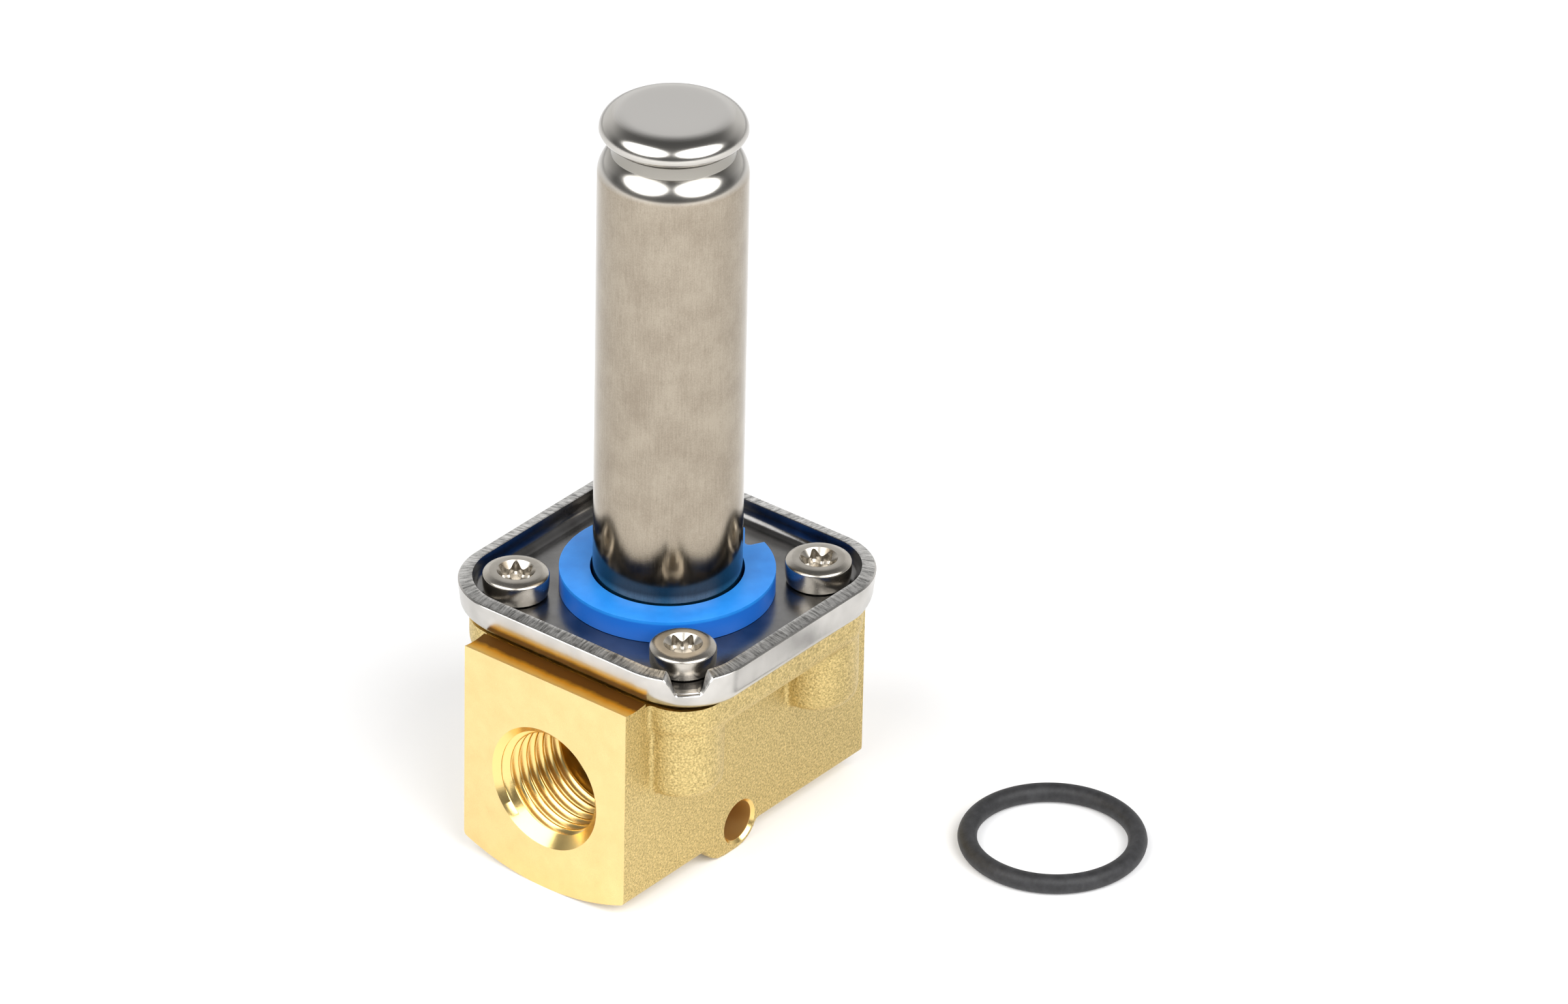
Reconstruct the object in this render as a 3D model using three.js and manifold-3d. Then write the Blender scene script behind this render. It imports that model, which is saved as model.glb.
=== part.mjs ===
// Servo-operated two-way solenoid valve, without its clip-on coil.
//
// Millimetres, +Z up along the armature tube. The origin lies on the tube's axis, level with
// the underside of the brass body. The flow runs along X, from the inlet at -X to the outlet
// at +X, and the loose coil seal lies beside the valve on the same surface.

import * as THREE from 'three';
import { mergeVertices } from 'three/addons/utils/BufferGeometryUtils.js';
import Module from 'manifold-3d';

const wasm = await Module();
wasm.setup();

// ---- Driving dimensions ------------------------------------------------------------------

const gap = 0.3;                    // left between pieces that touch on the real valve

// Brass body
const faceToFace = 40.2;            // from the inlet face to the outlet face
const blockHalfWidth = 10.9;
const blockTop = 25.5;
const portHeight = 12.2;            // port axis above the underside
const undersideRadius = 28;         // the underside is a shallow arc about X
const restHalfWidth = 1.5;          // narrow flat along the middle of that arc
const flangeHalf = 16.2;            // square flange under the cover
const flangeCorner = 4.9;
const flangeBottom = 21.5;
const deckTop = 24.86;              // machined deck that the cover is screwed down on
const deckHalfLength = 17.5;
const bossRadius = 4.6;
const bossBottom = 13.7;
const lugX = -0.8;                  // cross-drilled lug under the middle of the body
const lugHeight = 3.25;
const lugRadius = 3.2;
const lugFootX = -3.2;              // the lug is drawn out as far as this towards the inlet
const lugHoleRadius = 2.25;
const lugChamfer = 0.45;

// G 1/4 pipe threads of the two ports
const threadMinor = 11.445 / 2;
const threadMajor = 13.157 / 2;
const threadPitch = 1.337;
const threadTurns = 7;
const portChamferRadius = 7.08;
const portDepth = 11;

// Passages and the chamber under the diaphragm
const passageRadius = 3.6;
const riserX = -7.2;
const riserRadius = 2.3;
const seatBore = 3.2;
const seatRadius = 4.6;
const seatTop = 20.6;
const chamberFloor = 17.2;
const chamberRadius = 8.8;
const upperChamberRadius = 10.2;
const upperChamberFloor = 21.8;
const recessRadius = 12.5;          // recess that takes the diaphragm's rim
const recessFloor = 23.25;

// Pressed steel cover
const coverHalf = 18.0;
const coverCorner = 8.1;
const coverWall = 1.55;
const coverBottom = deckTop + gap;
const coverTop = 27.66;
const rimTop = 29.8;
const coverBend = 1.8;
const drainWidth = 4.6;             // gap in the rim at one corner that lets water out
const drainStart = 17.0;            // distance of that gap from the tube's axis
const tubeHole = 8.2;
const footRecess = 9.7;
const footRecessTop = 26.3;

// Cover screws, M4 with a low round head and a six-lobe recess
const screwPitch = 22.6;            // square pattern
const screwHeadRadius = 3.5;
const screwHeadHeight = 2.9;
const screwEdge = 0.55;
const screwShankRadius = 2.0;
const screwLength = 12;
const screwHoleRadius = 2.3;
const screwHoleBottom = 14.5;
const lobeOuter = 1.97;
const lobeInner = 1.42;
const lobeDepth = 1.6;

// Armature tube with its rolled groove and closed, beaded top
const tubeRadius = 7.9;
const tubeWall = 0.45;
const tubeFoot = 25.3;
const footRadius = 9.4;
const footThickness = 0.7;
const shoulderBottom = 77.55;
const neckBottom = 80.5;
const neckTop = 81.7;
const neckRadius = 6.6;
const beadHeight = 82.8;
const beadRadius = 7.78;
const beadWidth = 2.6;
const tubeTop = 84.85;

// Moving iron and the core above it
const strokeArmature = 2.0;
const armatureRadius = 7.3;
const armatureBottom = 25.9;
const coreFace = 58.0;
const armatureTop = coreFace - strokeArmature - gap;
const coreRadius = 7.15;
const springHoleRadius = 3.0;
const springHoleBottom = 46.7;
const springHoleTop = 62.0;
const springRadius = 2.2;
const springWire = 0.35;
const springTurns = 8;
const sealHoleRadius = 2.6;
const sealHoleTop = 27.9;
const sealFace = 25.5;
const guideBottom = 29.0;
const guideTop = 32.0;
const guideGrooveRadius = 6.45;
const shadeInner = 4.6;
const shadeOuter = 5.6;
const shadeHeight = 1.3;

// Diaphragm and what is riveted to it
const diaphragmBottom = seatTop + gap;
const diaphragmTop = 22.5;
const diaphragmHole = 1.6;
const rimRadius = 12.2;
const washerTop = 23.6;
const upperWasherRadius = 4.4;
const lowerWasherRadius = 2.8;
const nozzleTop = 25.2;
const orificeRadius = 0.7;
const bleedX = -6.2;

// Blue spacer ring that the coil stands on
const spacerInner = 8.15;
const spacerOuter = 11.42;
const spacerBottom = coverTop + gap;
const spacerTop = 30.25;

// Loose O-ring that seals the coil to the tube
const sealRingInner = 8.0;
const sealRingSection = 2.1;
const sealRingX = 20.9;
const sealRingY = -36.1;

// ---- Solids ------------------------------------------------------------------------------

const roundSegments = 32;

function signedVolume(positions, index) {
  const a = new THREE.Vector3();
  const b = new THREE.Vector3();
  const c = new THREE.Vector3();
  let sum = 0;
  for (let i = 0; i < index.count; i += 3) {
    a.fromBufferAttribute(positions, index.getX(i));
    b.fromBufferAttribute(positions, index.getX(i + 1));
    c.fromBufferAttribute(positions, index.getX(i + 2));
    sum += a.dot(b.cross(c)) / 6;
  }
  return sum;
}

// Turns a closed geometry into a solid whose faces point outwards.
function solid(geometry) {
  const bare = geometry.clone();
  bare.deleteAttribute('normal');
  bare.deleteAttribute('uv');
  const merged = mergeVertices(bare, 1e-5);
  const corners = Array.from(merged.index.array);
  const triangles = [];
  const inward = signedVolume(merged.attributes.position, merged.index) < 0;
  for (let i = 0; i < corners.length; i += 3) {
    const [a, b, c] = corners.slice(i, i + 3);
    if (a === b || b === c || c === a) continue;
    triangles.push(...(inward ? [a, c, b] : [a, b, c]));
  }
  return new wasm.Manifold(new wasm.Mesh({
    numProp: 3,
    vertProperties: new Float32Array(merged.attributes.position.array),
    triVerts: new Uint32Array(triangles),
  }));
}

function unite(first, ...rest) {
  return rest.reduce((sum, piece) => sum.add(piece), first);
}

function cut(first, ...rest) {
  return rest.reduce((left, piece) => left.subtract(piece), first);
}

// Revolves a profile of [radius, height] points about Z.
function turned(profile, segments = roundSegments) {
  const points = profile.map(([radius, height]) => new THREE.Vector2(radius, height));
  const geometry = new THREE.LatheGeometry(points, segments);
  geometry.rotateX(Math.PI / 2);
  return geometry;
}

// The same about the X axis, with the profile's heights measured along X.
function turnedAlongX(profile, segments = roundSegments) {
  const geometry = turned(profile, segments);
  geometry.rotateY(Math.PI / 2);
  return geometry;
}

function cylinder(radius, bottom, top, x = 0, y = 0, segments = roundSegments) {
  const geometry = turned([[0, bottom], [radius, bottom], [radius, top], [0, top]], segments);
  geometry.translate(x, y, 0);
  return geometry;
}

function ring(inner, outer, bottom, top, segments = roundSegments) {
  const profile = [[inner, bottom], [outer, bottom], [outer, top], [inner, top], [inner, bottom]];
  return turned(profile, segments);
}

// A shape drawn in X and Y, raised from one height to another.
function raised(shape, bottom, top, curveSegments = 6) {
  const settings = { depth: top - bottom, bevelEnabled: false, curveSegments };
  const geometry = new THREE.ExtrudeGeometry(shape, settings);
  geometry.translate(0, 0, bottom);
  return geometry;
}

function box(x0, x1, y0, y1, z0, z1) {
  const geometry = new THREE.BoxGeometry(x1 - x0, y1 - y0, z1 - z0);
  geometry.translate((x0 + x1) / 2, (y0 + y1) / 2, (z0 + z1) / 2);
  return geometry;
}

function roundedSquare(half, corner) {
  const straight = half - corner;
  const shape = new THREE.Shape();
  for (let quarter = 0; quarter < 4; quarter += 1) {
    const start = quarter * Math.PI / 2;
    const x = straight * (quarter === 0 || quarter === 3 ? 1 : -1);
    const y = straight * (quarter < 2 ? 1 : -1);
    shape.absarc(x, y, corner, start, start + Math.PI / 2);
  }
  return shape;
}

// Points of an elliptical quarter in a profile, without its first point.
function quarterArc(centreR, centreZ, widthR, heightZ, from, to, steps) {
  const points = [];
  for (let step = 1; step <= steps; step += 1) {
    const angle = THREE.MathUtils.degToRad(from + (to - from) * step / steps);
    points.push([centreR + widthR * Math.cos(angle), centreZ + heightZ * Math.sin(angle)]);
  }
  return points;
}

const assembly = new THREE.Group();

function add(name, piece, material) {
  const mesh = piece.getMesh();
  const geometry = new THREE.BufferGeometry();
  geometry.setAttribute('position', new THREE.BufferAttribute(mesh.vertProperties, 3));
  geometry.setIndex(new THREE.BufferAttribute(mesh.triVerts, 1));
  const node = new THREE.Mesh(geometry, new THREE.MeshStandardMaterial(material));
  node.name = name;
  assembly.add(node);
}

const brass = { color: 0xd9b45a, roughness: 0.35, metalness: 1 };
const stainless = { color: 0xa9a49c, roughness: 0.3, metalness: 1 };
const iron = { color: 0x8f9196, roughness: 0.4, metalness: 1 };
const copper = { color: 0xb8693f, roughness: 0.35, metalness: 1 };
const bluePlastic = { color: 0x2d8cf0, roughness: 0.45, metalness: 0 };
const blackRubber = { color: 0x1b1c1e, roughness: 0.75, metalness: 0 };
const whitePlastic = { color: 0xe9e6df, roughness: 0.5, metalness: 0 };

// ---- Brass body --------------------------------------------------------------------------

const faceX = faceToFace / 2;

function portBlock() {
  const arcCentre = Math.sqrt(undersideRadius ** 2 - restHalfWidth ** 2);
  const onArc = (y) => arcCentre - Math.sqrt(undersideRadius ** 2 - y ** 2);
  const cornerSize = 0.7;
  const cornerStart = blockHalfWidth - cornerSize;
  const angleAt = (y) => -Math.PI / 2 + Math.asin(y / undersideRadius);
  const shape = new THREE.Shape();
  shape.moveTo(-blockHalfWidth, blockTop);
  shape.lineTo(-blockHalfWidth, onArc(blockHalfWidth) + cornerSize);
  shape.quadraticCurveTo(-blockHalfWidth, onArc(blockHalfWidth), -cornerStart, onArc(cornerStart));
  shape.absarc(0, arcCentre, undersideRadius, angleAt(-cornerStart), angleAt(-restHalfWidth));
  shape.absarc(0, arcCentre, undersideRadius, angleAt(restHalfWidth), angleAt(cornerStart));
  shape.quadraticCurveTo(
    blockHalfWidth, onArc(blockHalfWidth), blockHalfWidth, onArc(blockHalfWidth) + cornerSize);
  shape.lineTo(blockHalfWidth, blockTop);
  const geometry = raised(shape, -faceX, faceX, 4);
  const alongX = new THREE.Matrix4().makeBasis(
    new THREE.Vector3(0, 1, 0), new THREE.Vector3(0, 0, 1), new THREE.Vector3(1, 0, 0));
  geometry.applyMatrix4(alongX);
  return geometry;
}

// A port cutter about X: chamfer, thread grooves and the drill's cone, opening at +X.
function portCutter() {
  const chamferDepth = portChamferRadius - threadMinor;
  const bottom = faceX - portDepth;
  const mouth = 1;
  const profile = [
    [0, faceX + mouth], [portChamferRadius + mouth, faceX + mouth],
    [threadMinor, faceX - chamferDepth],
  ];
  for (let turn = 0; turn < threadTurns; turn += 1) {
    const crest = faceX - chamferDepth - turn * threadPitch;
    profile.push([threadMajor, crest - threadPitch / 2]);
    profile.push([threadMinor, crest - threadPitch]);
  }
  profile.push([threadMinor, bottom], [passageRadius, bottom - 1.3], [0, bottom - 1.3]);
  return turnedAlongX(profile);
}

function mirroredX(geometry) {
  const copy = geometry.clone();
  copy.rotateZ(Math.PI);
  return copy;
}

function crossHole() {
  const face = blockHalfWidth;
  const wide = lugHoleRadius + lugChamfer;
  const over = 1;
  const profile = [
    [0, -face - over], [wide + over, -face - over], [lugHoleRadius, -face + lugChamfer],
    [lugHoleRadius, face - lugChamfer], [wide + over, face + over], [0, face + over],
  ];
  const geometry = turned(profile, 24);
  geometry.rotateX(Math.PI / 2);
  geometry.translate(lugX, 0, lugHeight);
  return geometry;
}

function lug() {
  const rounds = [lugX, lugFootX].map((x) => {
    const round = cylinder(lugRadius, -blockHalfWidth, blockHalfWidth, 0, 0, 24);
    round.rotateX(Math.PI / 2);
    return solid(round.translate(x, 0, lugHeight));
  });
  const middle = box(
    lugFootX, lugX, -blockHalfWidth, blockHalfWidth, lugHeight - lugRadius, lugHeight);
  return unite(...rounds, solid(middle));
}

function screwPlaces() {
  const reach = screwPitch / 2;
  return {
    front: [-reach, -reach],
    left: [-reach, reach],
    back: [reach, reach],
    right: [reach, -reach],
  };
}

function valveBody() {
  const flange = raised(roundedSquare(flangeHalf, flangeCorner), flangeBottom, deckTop);
  const bosses = Object.values(screwPlaces()).map(([x, y]) =>
    solid(cylinder(bossRadius, bossBottom, flangeBottom + 1, x, y, 24)));
  const outside = unite(solid(portBlock()), solid(flange), lug(), ...bosses);
  const chamber = turned([
    [0, seatTop], [seatRadius, seatTop], [seatRadius, chamberFloor],
    [chamberRadius, chamberFloor], [chamberRadius, upperChamberFloor],
    [upperChamberRadius, upperChamberFloor], [upperChamberRadius, recessFloor],
    [recessRadius, recessFloor], [recessRadius, deckTop + 1], [0, deckTop + 1],
  ], 40);
  const inletPassage = turnedAlongX([
    [0, -faceX + portDepth - 1], [passageRadius, -faceX + portDepth - 1],
    [passageRadius, riserX + 1], [0, riserX + 1],
  ], 24);
  const outletPassage = turnedAlongX([
    [0, -seatBore], [passageRadius, -seatBore],
    [passageRadius, faceX - portDepth + 1], [0, faceX - portDepth + 1],
  ], 24);
  for (const passage of [inletPassage, outletPassage]) {
    passage.translate(0, 0, portHeight);
  }
  const port = portCutter();
  const outlet = port.clone().translate(0, 0, portHeight);
  const inlet = mirroredX(port).translate(0, 0, portHeight);
  const deckCut = box(-deckHalfLength, deckHalfLength, -20, 20, deckTop, blockTop + 1);
  const screwHoles = Object.values(screwPlaces()).map(([x, y]) =>
    solid(cylinder(screwHoleRadius, screwHoleBottom, deckTop + 1, x, y, 20)));
  return cut(
    outside, solid(deckCut), solid(chamber), solid(inletPassage), solid(outletPassage),
    solid(cylinder(seatBore, portHeight, seatTop + 1, 0, 0, 24)),
    solid(cylinder(riserRadius, portHeight, chamberFloor + 0.5, riserX, 0, 20)),
    solid(outlet), solid(inlet), solid(crossHole()), ...screwHoles);
}

add('valve_body', valveBody(), brass);

// ---- Steel cover, with an upturned rim and one drain gap ------------------------------------

function coverPlate() {
  const bevel = {
    depth: rimTop - coverBottom - coverBend,
    bevelEnabled: true,
    bevelThickness: coverBend,
    bevelSize: coverBend,
    bevelOffset: -coverBend,
    bevelSegments: 4,
    curveSegments: 8,
  };
  const outer = new THREE.ExtrudeGeometry(roundedSquare(coverHalf, coverCorner), bevel);
  outer.translate(0, 0, coverBottom + coverBend);
  const aboveRim = box(-20, 20, -20, 20, rimTop, rimTop + 5);
  const innerShape = roundedSquare(coverHalf - coverWall, coverCorner - coverWall);
  const dish = raised(innerShape, coverTop, rimTop + 6, 8);
  const drain = box(drainStart, 30, -drainWidth / 2, drainWidth / 2, coverTop, rimTop + 1);
  drain.rotateZ(-Math.PI * 3 / 4);
  const screwHoles = Object.values(screwPlaces()).map(([x, y]) =>
    solid(cylinder(screwHoleRadius, coverBottom - 1, coverTop + 1, x, y, 20)));
  return cut(
    solid(outer), solid(aboveRim), solid(dish), solid(drain),
    solid(cylinder(tubeHole, coverBottom - 1, coverTop + 1, 0, 0, 40)),
    solid(cylinder(footRecess, coverBottom - 1, footRecessTop, 0, 0, 40)),
    ...screwHoles);
}

add('cover_plate', coverPlate(), stainless);

// ---- Cover screws ----------------------------------------------------------------------------

function sixLobes() {
  const shape = new THREE.Shape();
  const steps = 24;
  for (let step = 0; step < steps; step += 1) {
    const angle = step * Math.PI * 2 / steps;
    const middle = (lobeOuter + lobeInner) / 2;
    const radius = middle + (lobeOuter - lobeInner) / 2 * Math.cos(6 * angle);
    const point = [radius * Math.cos(angle), radius * Math.sin(angle)];
    if (step === 0) shape.moveTo(...point);
    else shape.lineTo(...point);
  }
  shape.closePath();
  return shape;
}

function coverScrew(x, y, turn) {
  const seat = coverTop + gap;
  const top = coverTop + screwHeadHeight;
  const tip = seat - screwLength;
  const profile = [
    [0, tip], [screwShankRadius - 0.5, tip], [screwShankRadius, tip + 0.5],
    [screwShankRadius, seat], [screwHeadRadius, seat], [screwHeadRadius, top - screwEdge],
    ...quarterArc(screwHeadRadius - screwEdge, top - screwEdge, screwEdge, screwEdge, 0, 90, 3),
    [0, top],
  ];
  const recess = raised(sixLobes(), top - lobeDepth, top + 1);
  recess.rotateZ(turn);
  return cut(solid(turned(profile, 28)), solid(recess)).translate([x, y, 0]);
}

const screwTurns = { front: 0.2, left: 0.7, back: 0.4, right: 0.95 };
for (const [place, [x, y]] of Object.entries(screwPlaces())) {
  add(`cover_screw_${place}`, coverScrew(x, y, screwTurns[place]), stainless);
}

// ---- Armature tube -----------------------------------------------------------------------------

// The outside of the tube from its foot to the axis at the closed top.
function tubeOutline(inset) {
  const side = tubeRadius - inset;
  const neck = neckRadius - inset;
  const bead = beadRadius - inset;
  const crown = beadWidth - inset;
  const roof = tubeTop - inset;
  return [
    [side, shoulderBottom],
    [side - 0.09 * (side - neck), shoulderBottom + 0.9],
    [side - 0.34 * (side - neck), shoulderBottom + 1.7],
    [side - 0.75 * (side - neck), shoulderBottom + 2.4],
    [neck, neckBottom],
    [neck, neckTop],
    [bead - 0.3, beadHeight - 0.6],
    [bead, beadHeight],
    ...quarterArc(bead - crown, beadHeight, crown, roof - beadHeight, 0, 90, 5),
    [0, roof],
  ];
}

function armatureTube() {
  const outside = [
    [footRadius, tubeFoot], [footRadius, tubeFoot + footThickness],
    [tubeRadius, tubeFoot + footThickness], ...tubeOutline(0),
  ];
  const inside = [[tubeRadius - tubeWall, tubeFoot], ...tubeOutline(tubeWall)];
  const outer = solid(turned([[0, tubeFoot], ...outside], 48));
  const inner = solid(turned([[0, tubeFoot - 1], [tubeRadius - tubeWall, tubeFoot - 1],
    ...inside], 48));
  return cut(outer, inner);
}

add('armature_tube', armatureTube(), stainless);

// ---- Fixed core, held by the tube's rolled groove, and its copper shading ring -------------------

function fixedCore() {
  const neck = neckRadius - tubeWall - gap;
  const head = beadRadius - tubeWall - gap;
  const profile = [
    [springHoleRadius, coreFace],
    [shadeInner - gap, coreFace], [shadeInner - gap, coreFace + shadeHeight + 2 * gap],
    [shadeOuter + gap, coreFace + shadeHeight + 2 * gap], [shadeOuter + gap, coreFace],
    [coreRadius - 0.5, coreFace], [coreRadius, coreFace + 0.5],
    [coreRadius, shoulderBottom - 0.4], [coreRadius - 0.55, shoulderBottom + 1.0],
    [neck, neckBottom - 0.6], [neck, neckTop - 0.2],
    [head - 0.7, beadHeight - 0.3], [head - 0.5, beadHeight + 0.2],
    [head - 1.6, tubeTop - tubeWall - 0.8], [0, tubeTop - tubeWall - 0.8],
    [0, springHoleTop], [springHoleRadius, springHoleTop], [springHoleRadius, coreFace],
  ];
  return solid(turned(profile));
}

add('fixed_core', fixedCore(), iron);

const shadeBottom = coreFace + gap / 2;
add('shading_ring', solid(ring(shadeInner, shadeOuter, shadeBottom, shadeBottom + shadeHeight)),
  copper);

// ---- Armature with its seal, guide ring and return spring -----------------------------------------

function armature() {
  const profile = [
    [0, sealHoleTop], [sealHoleRadius, sealHoleTop], [sealHoleRadius, armatureBottom],
    [armatureRadius - 1.2, armatureBottom], [armatureRadius, armatureBottom + 1.2],
    [armatureRadius, guideBottom - gap], [guideGrooveRadius, guideBottom - gap],
    [guideGrooveRadius, guideTop + gap], [armatureRadius, guideTop + gap],
    [armatureRadius, armatureTop - 0.4], [armatureRadius - 0.4, armatureTop],
    [springHoleRadius, armatureTop], [springHoleRadius, springHoleBottom],
    [0, springHoleBottom],
  ];
  const slots = [0, Math.PI].map((angle) => {
    const slot = box(armatureRadius - 0.9, armatureRadius + 1, -0.8, 0.8,
      armatureBottom - 1, armatureTop + 1);
    slot.rotateZ(angle + Math.PI / 2);
    return solid(slot);
  });
  return cut(solid(turned(profile)), ...slots);
}

function armatureSpring() {
  const bottom = springHoleBottom + gap + springWire;
  const top = springHoleTop - gap - springWire;
  class Coil extends THREE.Curve {
    getPoint(t, target = new THREE.Vector3()) {
      const angle = t * springTurns * Math.PI * 2;
      return target.set(
        springRadius * Math.cos(angle), springRadius * Math.sin(angle), bottom + (top - bottom) * t);
    }
  }
  const wire = new THREE.Shape();
  const sides = 6;
  for (let side = 0; side < sides; side += 1) {
    const angle = side * Math.PI * 2 / sides;
    const point = [springWire * Math.cos(angle), springWire * Math.sin(angle)];
    if (side === 0) wire.moveTo(...point);
    else wire.lineTo(...point);
  }
  wire.closePath();
  return new THREE.ExtrudeGeometry(wire, { steps: springTurns * 14, extrudePath: new Coil() });
}

add('armature', armature(), iron);
add('armature_seal', solid(cylinder(sealHoleRadius - gap, sealFace, sealHoleTop - gap)),
  blackRubber);
add('armature_guide_ring',
  solid(ring(guideGrooveRadius + gap, tubeRadius - tubeWall - 0.08, guideBottom, guideTop)),
  whitePlastic);
add('armature_spring', solid(armatureSpring()), stainless);

// ---- Diaphragm and its riveted hardware --------------------------------------------------------------

function diaphragm() {
  const rimBottom = recessFloor + gap;
  const profile = [
    [diaphragmHole, diaphragmBottom], [7.4, diaphragmBottom], [8.3, diaphragmBottom + 1.2],
    [9.5, diaphragmBottom + 1.6], [9.8, rimBottom], [rimRadius, rimBottom],
    [rimRadius, deckTop], [10.6, deckTop], [9.2, rimBottom], [8.2, diaphragmTop + 0.4],
    [7.4, diaphragmTop], [diaphragmHole, diaphragmTop], [diaphragmHole, diaphragmBottom],
  ];
  const bleedHole = cylinder(0.8 + gap, diaphragmBottom - 1, diaphragmTop + 1, bleedX, 0, 16);
  return cut(solid(turned(profile, 40)), solid(bleedHole));
}

function pilotNozzle() {
  const rivetBottom = 18.6;
  const rivetTop = 19.3;
  const shank = diaphragmHole - gap;
  const shoulder = washerTop + gap;
  return solid(turned([
    [orificeRadius, rivetBottom], [2.1, rivetBottom], [2.1, rivetTop], [shank, rivetTop],
    [shank, shoulder], [2.4, shoulder], [2.4, shoulder + 0.6], [1.5, shoulder + 0.6],
    [1.1, nozzleTop], [orificeRadius, nozzleTop], [orificeRadius, rivetBottom],
  ], 20));
}

function bleedBush() {
  const bore = 0.3;
  const flangeBase = diaphragmTop + gap;
  const geometry = turned([
    [bore, diaphragmBottom - 0.3], [0.8, diaphragmBottom - 0.3], [0.8, flangeBase],
    [1.2, flangeBase], [1.2, flangeBase + 0.4], [bore, flangeBase + 0.4],
    [bore, diaphragmBottom - 0.3],
  ], 16);
  geometry.translate(bleedX, 0, 0);
  return solid(geometry);
}

add('diaphragm', diaphragm(), blackRubber);
add('upper_washer', solid(ring(diaphragmHole, upperWasherRadius, diaphragmTop + gap, washerTop)),
  stainless);
add('lower_washer', solid(ring(diaphragmHole, lowerWasherRadius, 19.6, seatTop)), stainless);
add('pilot_nozzle', pilotNozzle(), brass);
add('bleed_bush', bleedBush(), brass);

// ---- Blue spacer ring, with its wedge-shaped opening -------------------------------------------------

function spacerRing() {
  const opening = new THREE.Shape();
  opening.moveTo(8.4, -3.66);
  opening.lineTo(12.6, -5.8);
  opening.lineTo(13.5, 0.4);
  opening.closePath();
  const whole = solid(ring(spacerInner, spacerOuter, spacerBottom, spacerTop, 48));
  return cut(whole, solid(raised(opening, spacerBottom - 1, spacerTop + 1)));
}

add('coil_spacer_ring', spacerRing(), bluePlastic);

// ---- Loose coil seal -----------------------------------------------------------------------------------

function sealRing() {
  const section = sealRingSection / 2;
  const profile = [[sealRingInner + 2 * section, section]];
  profile.push(...quarterArc(sealRingInner + section, section, section, section, 0, 360, 12));
  const geometry = turned(profile, 40);
  geometry.translate(sealRingX, sealRingY, 0);
  return solid(geometry);
}

add('coil_seal_ring', sealRing(), blackRubber);

export default assembly;
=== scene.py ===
import math

import bmesh
import bpy
from mathutils import Matrix, Quaternion, Vector


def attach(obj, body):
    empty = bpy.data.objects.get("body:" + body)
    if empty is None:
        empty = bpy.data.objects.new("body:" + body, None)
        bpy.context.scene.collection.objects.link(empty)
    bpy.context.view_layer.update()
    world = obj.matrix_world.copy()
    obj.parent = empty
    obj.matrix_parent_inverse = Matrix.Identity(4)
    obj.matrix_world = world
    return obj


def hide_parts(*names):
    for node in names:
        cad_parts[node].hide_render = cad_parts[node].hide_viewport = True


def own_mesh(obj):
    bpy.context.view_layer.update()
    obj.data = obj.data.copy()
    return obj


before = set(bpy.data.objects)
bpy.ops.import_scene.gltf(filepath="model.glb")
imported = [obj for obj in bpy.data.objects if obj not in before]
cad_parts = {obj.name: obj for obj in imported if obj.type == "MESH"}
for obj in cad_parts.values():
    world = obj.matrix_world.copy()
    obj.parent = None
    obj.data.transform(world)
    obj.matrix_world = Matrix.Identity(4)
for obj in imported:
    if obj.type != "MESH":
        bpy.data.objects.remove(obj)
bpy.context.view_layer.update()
mm = 0.001


# ---- Camera, table and studio light --------------------------------------------------------------
# The valve stands on a plain white table, with a white sheet behind it and a darker room in
# front. A long lens looks down on it from the inlet side, between two large soft lights.

scene = bpy.context.scene
scene.view_settings.view_transform = "Standard"

view_azimuth = math.radians(-51.940)
view_elevation = math.radians(30.817)
view_distance = 1161.0 * mm
view_roll = math.radians(1.20)
view_aim = Vector((7.46, -9.53, 38.36)) * mm
towards_camera = Vector((
    math.sin(view_azimuth) * math.cos(view_elevation),
    -math.cos(view_azimuth) * math.cos(view_elevation),
    math.sin(view_elevation)))

lens = bpy.data.cameras.new("long_lens")
lens.lens = 254.5
lens.sensor_width = 36
lens.clip_start = 0.05
lens.clip_end = 20
camera = bpy.data.objects.new("camera", lens)
scene.collection.objects.link(camera)
scene.camera = camera
camera.location = view_aim + towards_camera * view_distance
camera.rotation_mode = "QUATERNION"
level = (-towards_camera).to_track_quat("-Z", "Y")
camera.rotation_quaternion = Quaternion(towards_camera, view_roll) @ level


def put(tree, kind, inputs=None, **settings):
    """Adds a shader node; an input is a plain value or the output that feeds it."""
    made = tree.nodes.new(kind)
    for name, value in settings.items():
        setattr(made, name, value)
    for name, value in (inputs or {}).items():
        socket = made.inputs[name]
        if isinstance(value, bpy.types.NodeSocket):
            tree.links.new(value, socket)
        else:
            socket.default_value = value
    return made


def ramp(tree, factor, stops):
    """A colour ramp through grey or coloured stops of (position, value)."""
    made = put(tree, "ShaderNodeValToRGB", {"Fac": factor})
    bar = made.color_ramp.elements
    while len(bar) < len(stops):
        bar.new(0.5)
    for element, (position, value) in zip(bar, stops):
        colour = value if isinstance(value, tuple) else (value, value, value)
        element.position = position
        element.color = (*colour, 1)
    return made.outputs["Color"]


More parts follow.
